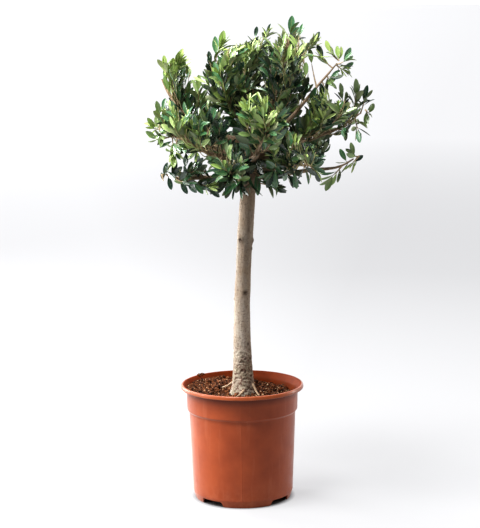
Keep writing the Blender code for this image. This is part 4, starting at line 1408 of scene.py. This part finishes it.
# Gaps where the sky shows through all the leaves, as seen from the front: x, height, radius
SKY_GAPS = (
    (0.105, 0.669, 0.0130), (0.145, 0.554, 0.0085), (0.097, 0.516, 0.0085), (0.134, 0.519, 0.0070),
    (0.052, 0.706, 0.0060), (0.089, 0.697, 0.0060), (0.169, 0.547, 0.0060), (-0.101, 0.556, 0.0060),
    (-0.090, 0.513, 0.0060), (0.129, 0.688, 0.0050), (0.116, 0.659, 0.0050), (-0.059, 0.534, 0.0050),
    (-0.082, 0.639, 0.0050), (-0.029, 0.635, 0.0045), (0.036, 0.640, 0.0045), (0.007, 0.661, 0.0045),
    (0.015, 0.575, 0.0040), (-0.050, 0.575, 0.0040), (-0.037, 0.551, 0.0040),
)

# Boughs that show bare among the leaves in front: limb, from and to share of its length
BARE_STRETCHES = (
    ("lower_left", 0.22, 0.95), ("upper_right", 0.28, 0.92), ("lower_right", 0.44, 0.92),
    ("far_left", 0.15, 0.62), ("right", 0.18, 0.85), ("upper_left", 0.45, 0.85), ("top_right", 0.26, 0.80),
    ("front_left", 0.14, 0.45),
)
BARE_POINTS = 34
BARE_WIDTH = 0.0046
BARE_DEPTH = 0.004
VIEW_HEIGHT = CAMERA_PLACE[2]
VIEW_DISTANCE = -CAMERA_PLACE[1]

# Where the growing tips show palest and brightest, as seen from the front: x, height, radius
BRIGHT_SPRAYS = (
    (-0.022, 0.628, 0.020), (0.030, 0.622, 0.018), (-0.112, 0.672, 0.016), (-0.118, 0.622, 0.015),
    (-0.090, 0.568, 0.014), (-0.014, 0.577, 0.013), (0.118, 0.610, 0.018), (0.000, 0.692, 0.010),
    (-0.134, 0.578, 0.013), (0.085, 0.600, 0.012),
)
BRIGHT_DEPTH = 0.03


def frame_along(direction):
    """Two directions across this one: one level, one as upright as it can be."""
    level = direction.cross(Vector((0.0, 0.0, 1.0)))
    if level.length < 0.05:
        level = Vector((1.0, 0.0, 0.0))
    level.normalize()
    return level, level.cross(direction).normalized()


def leaning(direction, angle, turn):
    """The direction leaned away by an angle, towards a side picked by a turn round it, in degrees."""
    level, upright = frame_along(direction)
    side = level * math.cos(math.radians(turn)) + upright * math.sin(math.radians(turn))
    return (direction * math.cos(math.radians(angle)) + side * math.sin(math.radians(angle))).normalized()


def jitter(chance, spread):
    return chance.uniform(-spread, spread)


def bars_of(line):
    """The line's stretches, each with its two ends and its greatest girth."""
    return [(a[0], b[0], max(a[1], b[1])) for a, b in zip(line, line[1:])]


def seen_from_front(spot):
    """Where the spot shows on the upright plane through the trunk, as x and height."""
    share = VIEW_DISTANCE / (VIEW_DISTANCE + spot[1])
    return spot[0] * share, VIEW_HEIGHT + (spot[2] - VIEW_HEIGHT) * share


def inside_outline(spot):
    across, height = seen_from_front(spot)
    inside = False
    for (x1, z1), (x2, z2) in zip(HEAD_OUTLINE, HEAD_OUTLINE[1:] + HEAD_OUTLINE[:1]):
        if (z1 > height) != (z2 > height) and across < x1 + (height - z1) * (x2 - x1) / (z2 - z1):
            inside = not inside
    return inside


def in_dome(spot):
    """Inside the head's round shape: widest near the middle of its height, drawn in above and below."""
    out = math.hypot(spot.x - HEAD_MIDDLE, spot.y) / HEAD_RADIUS
    end = HEAD_TOP if spot.z > HEAD_WIDEST else HEAD_FLOOR
    up = (spot.z - HEAD_WIDEST) / (end - HEAD_WIDEST)
    return out**HEAD_SQUARENESS + up**HEAD_SQUARENESS < 1.0


in_head = [BARE_TRUNK_TOP + (TRUNK_TIP - BARE_TRUNK_TOP) * step / BAR_STEPS for step in range(BAR_STEPS + 1)]
trunk_bars = bars_of([(trunk_centre(height), trunk_radius(height) + TRUNK_MARGIN) for height in in_head])
limb_bars = {limb.name: bars_of(limb.line()[::3]) for limb in limbs}
by_name = {limb.name: limb for limb in limbs}
bare_points = [
    by_name[name].point(share)
    for name, low, high in BARE_STRETCHES
    for share in np.linspace(low, high, BARE_POINTS)
]
bare_spots = np.array([(*seen_from_front(point), point.y) for point in bare_points])


def in_sky_gap(root, tip):
    """Some of the leaf lies in front of or behind a gap."""
    for share in (0.35, 0.6, 0.8, 1.0):
        across, height = seen_from_front(root.lerp(tip, share))
        if any(math.hypot(across - x, height - z) < radius for x, z, radius in SKY_GAPS):
            return True
    return False


def hides_bough(spot):
    """The spot is in front of a bough that shows bare."""
    away = np.hypot(*(bare_spots[:, :2] - np.array(seen_from_front(spot))).T)
    return bool(((away < BARE_WIDTH) & (bare_spots[:, 2] > spot.y - BARE_DEPTH)).any())


class Room:
    """The space that a mass may fill: nearer its own middle than any other's, off the trunk and limbs."""

    def __init__(self, limb, widened=0.0):
        """A widened room reaches past its walls by that much, and past the head's outline too."""
        self.outside_too = widened > 0.0
        self.centre = np.array(limb.centre)
        apart = np.array([other.centre for other in limbs if other is not limb]) - self.centre
        lengths = np.linalg.norm(apart, axis=1)
        self.walls = apart / lengths[:, None]
        self.limits = 0.5 * lengths + ROOM_SLACK + widened
        bars = trunk_bars + [bar for name, found in limb_bars.items() if name != limb.name for bar in found]
        self.starts = np.array([bar[0] for bar in bars])
        self.spans = np.array([bar[1] for bar in bars]) - self.starts
        self.span_squares = np.einsum("ij,ij->i", self.spans, self.spans)
        self.radii = np.array([bar[2] for bar in bars])

    def holds(self, spot, stretch=0.0):
        if not in_dome(spot) or not (self.outside_too or inside_outline(spot)):
            return False
        aside = np.array(spot) - self.centre
        if np.linalg.norm(aside) > ROOM_REACH + stretch:
            return False
        return bool((self.walls @ aside <= self.limits + stretch).all())

    def clear(self, spot, radius):
        aside = np.array(spot) - self.starts
        share = np.clip(np.einsum("ij,ij->i", aside, self.spans) / self.span_squares, 0.0, 1.0)
        away = np.linalg.norm(aside - self.spans * share[:, None], axis=1)
        return bool((away > self.radii + radius + LIMB_MARGIN).all())


class Leaves:
    """All the leaves so far, by kind. A new one keeps its middle a little apart from every other's."""

    def __init__(self):
        self.kinds = {kind: [] for kind in KINDS}
        self.cells = {}

    def cell(self, spot):
        return tuple(int(math.floor(number / LEAF_APART)) for number in spot)

    def crowded(self, spot):
        nearby = itertools.product(*((number - 1, number, number + 1) for number in self.cell(spot)))
        others = (other for cell in nearby for other in self.cells.get(cell, ()))
        return any((other - spot).length < LEAF_APART for other in others)

    def add(self, kind, root, direction, face, length, width, blade):
        middle = root + direction * length * 0.6
        self.cells.setdefault(self.cell(middle), []).append(middle)
        side = face.cross(direction).normalized()
        face = direction.cross(side).normalized()
        turn = Matrix((direction, side, face)).transposed().to_quaternion()
        self.kinds[kind].append((tuple(root), tuple(turn), (length, length * width, length), blade))


leaves = Leaves()
shoot_lines = {"woody": [], "green": []}


def has_place(room, root, direction, length, in_tuft):
    """The leaf is in its room and clear of the rest, and it hides neither bare bough nor sky."""
    tip, middle = root + direction * length, root + direction * length * 0.6
    if not (room.holds(tip, TIP_STRAY) and room.holds(middle, MIDDLE_STRAY)):
        return False
    if leaves.crowded(middle) and not in_tuft:
        return False
    if hides_bough(middle) or hides_bough(tip) or in_sky_gap(root, tip):
        return False
    return room.clear(middle, MIDDLE_CLEARANCE) and room.clear(tip, TIP_CLEARANCE)


def set_leaf(room, kind, root, direction, along, length, chance, width=1.0, in_tuft=False):
    """One leaf. Its upper side faces out of the head and up, to the light, and a few are turned over."""
    if not has_place(room, root, direction, length, in_tuft):
        return
    outward = (root - Vector((HEAD_MIDDLE, 0.0, HEAD_WIDEST))).normalized()
    face = along * 0.35 + outward * 0.65 + Vector((0.0, 0.0, 0.40))
    face = (face - direction * face.dot(direction)).normalized()
    turned = 180.0 if chance.random() < TURNED_OVER else 0.0
    face = Quaternion(direction, math.radians(chance.gauss(turned, LEAF_ROLL))) @ face
    width *= chance.uniform(*WIDTH_SPREAD)
    leaves.add(kind, root, direction, face, length, width, chance.randrange(len(BLADES)))


def varied(kind, chance, share):
    """The next paler kind for a share of the leaves, and the next darker one for nearly as many."""
    draw = chance.random()
    number = KINDS.index(kind) + (1 if draw < share else -1 if draw > 1.0 - DARKER_SHARE * share else 0)
    return KINDS[min(max(number, 0), len(KINDS) - 1)]


def dress(line, room, kind, chance, size=1.0, first=0.16, growing=False, droop=-LEAF_RISE):
    """Leaves in opposite pairs along a shoot, each pair across the last, closer and steeper at its tip."""
    points = [point for point, girth in line]
    lengths = [(b - a).length for a, b in zip(points, points[1:])]
    total = sum(lengths)
    turn = chance.uniform(0.0, 360.0)
    reach = first * total
    while reach < total * DRESSED_TO:
        part = reach / total
        rest, number = reach, 0
        while rest > lengths[number]:
            rest -= lengths[number]
            number += 1
        root = points[number].lerp(points[number + 1], rest / lengths[number])
        along = (points[number + 1] - points[number]).normalized()
        for side in (0.0, 180.0):
            angle = LEAF_ANGLE - LEAF_ANGLE_LOST * part + jitter(chance, LEAF_ANGLE_JITTER)
            direction = leaning(along, angle, turn + side + jitter(chance, LEAF_TURN_JITTER))
            direction = (direction - Vector((0.0, 0.0, droop * (1.0 - 0.6 * part)))).normalized()
            length = LEAF_LENGTH * size * chance.uniform(*LENGTH_SPREAD) * (1.0 - 0.22 * part)
            set_leaf(room, varied(kind, chance, PALER_SHARE), root, direction, along, length, chance)
        turn += 90.0 + jitter(chance, PAIR_TURN_JITTER)
        reach += NODE_SPACING * chance.uniform(*NODE_SPREAD) * (1.0 - 0.25 * part)
    crown_shoot(points, room, kind, chance, size, turn, growing)


def crown_shoot(points, room, kind, chance, size, turn, growing):
    """The last leaves at the shoot's tip: three, or a tuft of narrow young ones where it still grows."""
    tip_kind = "young" if growing else varied(kind, chance, TIP_PALER_SHARE)
    end, along = points[-1], (points[-1] - points[-2]).normalized()
    for number in range(TUFT_LEAVES if growing else TIP_LEAVES):
        root = end - along * TUFT_SPACING * number
        direction = leaning(along, 6.0 + 6.5 * number, turn + GOLDEN_ANGLE * number)
        length = LEAF_LENGTH * size * chance.uniform(*TIP_LENGTH_SPREAD)
        width = TUFT_WIDTH if growing else TIP_LEAF_WIDTH
        set_leaf(room, tip_kind, root, direction, along, length, chance, width, growing)


def grow_shoot(root, heading, length, pull, chance):
    """A shoot's line, bent up towards the light, with its girth."""
    level, upright = frame_along(heading)
    bend = Vector((0.0, 0.0, pull)) + level * jitter(chance, SHOOT_BEND)

    def point_at(part):
        return root + heading * length * part + bend * length * part * part

    return tapered(point_at, SHOOT_STEPS, SHOOT_GIRTH, SHOOT_TIP_GIRTH)


def fits(line, room):
    return all(room.holds(spot) and room.clear(spot, girth) for spot, girth in line[1:])


def kind_at(spot, chance):
    """Old dark leaves low down and inside, younger and paler ones outside and above: partly their age,
    partly painted shade below and inside and painted light above and outside.
    """
    out = math.hypot(spot.x - HEAD_MIDDLE, spot.y) / HEAD_RADIUS
    up = (spot.z - HEAD_FLOOR) / (HEAD_TOP - HEAD_FLOOR)
    paleness = PALENESS_OUTWARD * out + PALENESS_UPWARD * up + chance.gauss(0.0, PALENESS_SPREAD)
    return next((kind for kind, palest in KIND_PALENESS if paleness < palest), "fresh")


def is_bright(spot):
    """Among the sprays that show brightest in front."""
    if spot.y > BRIGHT_DEPTH:
        return False
    return any(math.hypot(spot.x - x, spot.z - z) < radius for x, z, radius in BRIGHT_SPRAYS)


def add_shoot(line, room, chance, size=1.0, fine=0):
    """A shoot with its leaves, and as many finer shoots on it as are asked for, where they fit."""
    tip = line[-1][0]
    growing = is_bright(tip) or chance.random() < GROWING_SHARE
    kind = kind_at(tip, chance)
    shoot_lines["green" if growing or fine == 0 else "woody"].append(line)
    dress(line, room, kind, chance, size, growing=growing)
    for number in range(fine):
        step = 2 + number * 2
        root, heading = line[step][0], (line[step + 1][0] - line[step][0]).normalized()
        for attempt in range(FINE_SHOOT_TRIES):
            turn = chance.uniform(0.0, 360.0)
            away = leaning(heading, FINE_SHOOT_ANGLE + jitter(chance, SHOOT_ANGLE_JITTER), turn)
            length = FINE_SHOOT_LENGTH * chance.uniform(*FINE_LENGTH_SPREAD)
            length *= 1.0 - SHORTER_EACH_TRY * attempt
            twig = grow_shoot(root, away, length, LIGHT_PULL, chance)
            if fits(twig, room):
                thin = [(spot, FINE_SHOOT_GIRTH * girth) for spot, girth in twig]
                add_shoot(thin, room, chance, size * FINE_LEAF_SIZE)
                break


def grow_mass(limb):
    """The mass's shoots round its limb, each turned by the golden angle from the last."""
    chance = random.Random(SEED * 1000 + limb.number)
    room = Room(limb)
    turn = chance.uniform(0.0, 360.0)
    count = round(SHOOTS_PER_LIMB * limb.fullness)
    start = SHOOT_FROM if limb.bare else HEART_SHOOT_FROM
    for number in range(count):
        part = (number + 0.5) / count
        share = start + (limb.stem_to - start) * part
        for attempt in range(SHOOT_TRIES):
            turn += GOLDEN_ANGLE
            heading = leaning(limb.direction(share), SHOOT_ANGLE + jitter(chance, SHOOT_ANGLE_JITTER), turn)
            length = SHOOT_LENGTH * chance.uniform(*SHOOT_LENGTH_SPREAD) * (1.0 - 0.30 * part)
            length *= 1.0 - SHORTER_EACH_TRY * attempt
            line = grow_shoot(limb.point(share), heading, length, LIGHT_PULL, chance)
            if fits(line[1:], room):
                add_shoot(line, room, chance, fine=FINE_SHOOTS)
                break
    shares = np.linspace(limb.stem_to - STEM_TOP, limb.stem_to, 7)
    stem = [(limb.point(share), STEM_TIP_RADIUS) for share in shares]
    tip = stem[-1][0]
    growing = is_bright(tip) or chance.random() < STEM_GROWING_SHARE
    dress(stem, room, kind_at(tip, chance), chance, first=0.05, growing=growing)


def grow_leader(limb, share, tip, size, chance):
    """A spray that reaches a given tip, bent up at its end."""
    root, top = limb.point(share), Vector(tip)
    last = ((top - root).normalized() + Vector((0.0, 0.0, 0.5 if top.z > root.z else -0.3))).normalized()
    last *= LEAF_LENGTH * size * LAST_LEAF_SIZE
    end = top - last
    middle = root.lerp(end, 0.5) - Vector((0.0, 0.0, LEADER_SAG * (end - root).length))

    def point_at(part):
        return root.lerp(middle, part).lerp(middle.lerp(end, part), part)

    line = tapered(point_at, SHOOT_STEPS, LEADER_GIRTH, SHOOT_TIP_GIRTH)
    shoot_lines["woody"].append(line)
    growing = is_bright(end) or chance.random() < LEADER_GROWING_SHARE
    kind = kind_at(end, chance)
    to_front = Vector((jitter(chance, 0.5), -1.0, 0.2))
    tip_kind = varied(kind, chance, TIP_PALER_SHARE)
    leaves.add(tip_kind, end, last.normalized(), to_front, last.length, LAST_LEAF_WIDTH, 0)
    dress(line, Room(limb, LEADER_ROOM), kind, chance, size, LEADER_LEAVES_FROM, growing)


def grow_skirt():
    """Short hanging shoots with the largest and darkest leaves, round the trunk under the lowest boughs."""
    chance = random.Random(SEED * 31)
    nearest = sorted(limbs, key=lambda limb: limb.join)[:LOW_LIMBS]
    for number in range(SKIRT_SHOOTS):
        bearing = GOLDEN_ANGLE * number + jitter(chance, SKIRT_TURN_JITTER)
        limb = min(nearest, key=lambda other: abs((other.bearing - bearing + 180.0) % 360.0 - 180.0))
        height = SKIRT_LOW + (SKIRT_HIGH - SKIRT_LOW) * number / SKIRT_SHOOTS
        root = trunk_centre(height) + bearing_vector(bearing) * (trunk_radius(height) + 0.0002)
        heading = (bearing_vector(bearing) + Vector((0.0, 0.0, SKIRT_DIP))).normalized()
        length = SKIRT_LENGTH * chance.uniform(*SKIRT_LENGTH_SPREAD)
        line = grow_shoot(root, heading, length, SKIRT_PULL, chance)
        shoot_lines["woody"].append(line)
        dress(line, Room(limb, SKIRT_ROOM), "deep", chance, SKIRT_LEAF_SIZE, 0.30, False, SKIRT_DROOP)


leader_chance = random.Random(SEED * 7)
for name, share, tip, size in LEADERS:
    grow_leader(by_name[name], share, tip, size, leader_chance)
for limb in limbs:
    grow_mass(limb)
grow_skirt()


# The leaves are small, leathery and oval, on thin short stalks. They are waxy above and downy below, with a
# pale rib, and bluish green when old, olive or yellow-green when young. Five blades are made, and one of
# them is set on each leaf's place.

BLADE_WIDTH = 0.335
STALK_LENGTH = 0.10
STALK_WIDTH = 0.026
LEAF_THICKNESS = 0.011
RIB_WIDTH = 0.030
BLADE_STATIONS = (0.0, STALK_LENGTH, 0.20, 0.36, 0.54, 0.72, 0.88, 0.965, 1.0)
COAT_ROUGHNESS = 0.26
UNDERSIDE_ROUGHNESS = 0.70
RIB_ROUGHNESS = 0.55

# kind: upper side, underside, rib, roughness, wax
LEAF_FINISHES = {
    "deep": ((0.006, 0.027, 0.013), (0.048, 0.066, 0.034), (0.046, 0.072, 0.028), 0.26, 1.0),
    "green": ((0.050, 0.140, 0.058), (0.145, 0.180, 0.092), (0.175, 0.235, 0.082), 0.29, 0.9),
    "olive": ((0.160, 0.248, 0.084), (0.235, 0.270, 0.140), (0.305, 0.355, 0.130), 0.36, 0.5),
    "fresh": ((0.232, 0.340, 0.094), (0.290, 0.340, 0.150), (0.340, 0.405, 0.130), 0.42, 0.3),
    "young": ((0.285, 0.385, 0.104), (0.325, 0.395, 0.150), (0.385, 0.455, 0.150), 0.46, 0.2),
}


def blade_half_width(along, widest, blunt):
    """Half the leaf's width at a share of its length: a thin stalk, then an oval with a blunt tip."""
    if along <= STALK_LENGTH:
        return 0.5 * STALK_WIDTH
    part = (along - STALK_LENGTH) / (1.0 - STALK_LENGTH)
    oval = math.sin(math.pi * part ** (math.log(0.5) / math.log(widest))) ** blunt
    return max(0.5 * BLADE_WIDTH * oval, 0.5 * STALK_WIDTH * (1.0 - part))


def blade_section(along, widest, blunt, fold, droop, twist):
    """The blade cut across at a share of its length: two edges, a rib between them, and a keel below."""
    half = blade_half_width(along, widest, blunt) if along < 1.0 else 0.004
    rib = min(0.5 * RIB_WIDTH * (1.0 - 0.7 * along), 0.45 * half)
    thick = LEAF_THICKNESS * (1.6 if along <= STALK_LENGTH else 1.0) * (1.0 - 0.6 * along)
    lift = fold * half
    flat = ((-half, lift), (-rib, 0.0), (rib, 0.0), (half, lift), (0.0, -thick))
    turn = math.radians(twist) * along
    cos, sin, drop = math.cos(turn), math.sin(turn), droop * along * along
    return [(along, across * cos - up * sin, across * sin + up * cos - drop) for across, up in flat]


def blade_mesh(name, *shape):
    """A leaf of unit length on +X, upper side up. Its faces are marked as rib, underside or neither."""
    sections = [blade_section(along, *shape) for along in BLADE_STATIONS]
    sides = len(sections[0])
    strips = ((0, 1, "upper"), (1, 2, "rib"), (2, 3, "upper"), (3, 4, "under"), (4, 0, "under"))
    faces, marks = [], []
    for low in range(0, sides * (len(sections) - 1), sides):
        for first, second, mark in strips:
            faces.append((low + first, low + sides + first, low + sides + second, low + second))
            marks.append(mark)
    last = sides * (len(sections) - 1)
    faces += [tuple(range(sides)), tuple(last + number for number in reversed(range(sides)))]
    marks += ["under", "under"]
    mesh = bpy.data.meshes.new(name)
    mesh.from_pydata([vert for section in sections for vert in section], [], faces)
    mesh.shade_smooth()
    for mark in ("rib", "under"):
        flags = [found == mark for found in marks]
        mesh.attributes.new(mark, "BOOLEAN", "FACE").data.foreach_set("value", flags)
    sharpen_rim(mesh, marks)
    return mesh


def sharpen_rim(mesh, marks):
    """The edge between a leaf's two sides stays sharp."""
    sides_of = {}
    for polygon, mark in zip(mesh.polygons, marks):
        for key in polygon.edge_keys:
            sides_of.setdefault(key, set()).add(mark == "under")
    flags = [len(sides_of[tuple(sorted(edge.vertices))]) > 1 for edge in mesh.edges]
    mesh.attributes.new("sharp_edge", "BOOLEAN", "EDGE").data.foreach_set("value", flags)


def blade_collection():
    blades = bpy.data.collections.new("leaf_blades")
    for number, row in enumerate(BLADES):
        mesh = blade_mesh(f"leaf_blade_{number}", *row)
        blades.objects.link(bpy.data.objects.new(mesh.name, mesh))
    return blades


def leaf_tree():
    """Sets a blade on each point, turned and sized by its attributes, and finishes the blade's two sides."""
    tree = Tree("set_leaves")
    blades = tree.size("Blades", "Collection")
    upper = tree.size("Upper Side", "Material")
    under = tree.size("Underside", "Material")
    rib = tree.size("Rib", "Material")
    placed = tree.add(
        "GeometryNodeInstanceOnPoints",
        Points=tree.inlet.outputs["Geometry"],
        Instance=tree.shapes_in(blades),
        Pick_Instance=True,
        Instance_Index=tree.named("blade", "INT"),
        Rotation=tree.named("turn", "QUATERNION"),
        Scale=tree.named("size", "FLOAT_VECTOR"),
    )
    shape = tree.add("GeometryNodeRealizeInstances", Geometry=placed)
    shape = tree.add("GeometryNodeSetMaterial", Geometry=shape, Material=upper)
    for mark, finish in (("under", under), ("rib", rib)):
        marked = tree.named(mark, "BOOLEAN")
        shape = tree.add("GeometryNodeSetMaterial", Geometry=shape, Selection=marked, Material=finish)
    tree.finish(shape)
    return tree


def leaf_points(name, found):
    """A point for each leaf, with its turn, its size and the number of its blade."""
    roots, turns, sizes, shapes = zip(*found)
    mesh = bpy.data.meshes.new(name)
    mesh.from_pydata(roots, [], [])
    mesh.attributes.new("turn", "QUATERNION", "POINT").data.foreach_set("value", np.ravel(turns))
    mesh.attributes.new("size", "FLOAT_VECTOR", "POINT").data.foreach_set("vector", np.ravel(sizes))
    mesh.attributes.new("blade", "INT", "POINT").data.foreach_set("value", shapes)
    return mesh


def leaf_finish(name, colour, roughness, wax, grain):
    """A leaf's skin: one plain colour, with fine veins in its relief and a waxy or a downy gloss."""
    material, shader = new_material(name, colour, roughness, 0.5)
    tree = material.node_tree
    shader.inputs["Coat Weight"].default_value = wax
    shader.inputs["Coat Roughness"].default_value = COAT_ROUGHNESS
    skin = noise_of(tree, 420.0, 3.0, 0.6)
    dulled = eased(tree, skin, 0.35, 0.65, roughness - 0.05, roughness + 0.10)
    tree.links.new(dulled, shader.inputs["Roughness"])
    raise_grain(tree, shader, skin, grain, 0.6)
    return material


masses = [f"foliage_{limb.name}" for limb in limbs]
blades = blade_collection()
leaf_setter = leaf_tree()
for kind, (upper, under, rib, roughness, wax) in LEAF_FINISHES.items():
    name = f"leaves_{kind}"
    piece = link_piece(name, leaf_points(name, leaves.kinds[kind]))
    leaf_setter.grow(
        piece,
        Blades=blades,
        Upper_Side=leaf_finish(f"{name}_upper", upper, roughness, wax, 0.0003),
        Underside=leaf_finish(f"{name}_under", under, UNDERSIDE_ROUGHNESS, 0.0, 0.0003),
        Rib=leaf_finish(f"{name}_rib", rib, RIB_ROUGHNESS, 0.0, 0.0001),
    )
    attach(piece, "root")
    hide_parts(*masses)


# The shoots that carry the leaves are round and thin, and end finer than they begin. The ripe ones have
# brown bark, and the young ones are yellow-green. Each is thickened along its line, as the boughs are.

SHOOT_SIDES = 6
SHOOT_KNOBS = 0.0004
SHOOT_KNOB_SCALE = 300.0

# age: pale and dark parts of the bark
SHOOT_BARK = {
    "woody": ((0.43, 0.33, 0.21), (0.26, 0.18, 0.105)),
    "green": ((0.40, 0.38, 0.19), (0.30, 0.26, 0.13)),
}


def shoot_bark(name, pale, dark):
    material, shader = new_material(name, pale, 0.7, 0.3)
    tree = material.node_tree
    flecks = eased(tree, noise_of(tree, 300.0, 4.0), 0.42, 0.60)
    tree.links.new(mixed(tree, flecks, dark, pale), shader.inputs["Base Color"])
    raise_grain(tree, shader, noise_of(tree, 900.0, 3.0), 0.0003, 0.6)
    return material


for age, lines in shoot_lines.items():
    name = f"shoots_{age}"
    shoots = link_piece(name, lines_mesh(name, lines))
    finish = shoot_bark(name, *SHOOT_BARK[age])
    thicken.grow(shoots, Sides=SHOOT_SIDES, Knobs=SHOOT_KNOBS, Knob_Scale=SHOOT_KNOB_SCALE, Finish=finish)
    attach(shoots, "root")
    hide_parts(*masses)
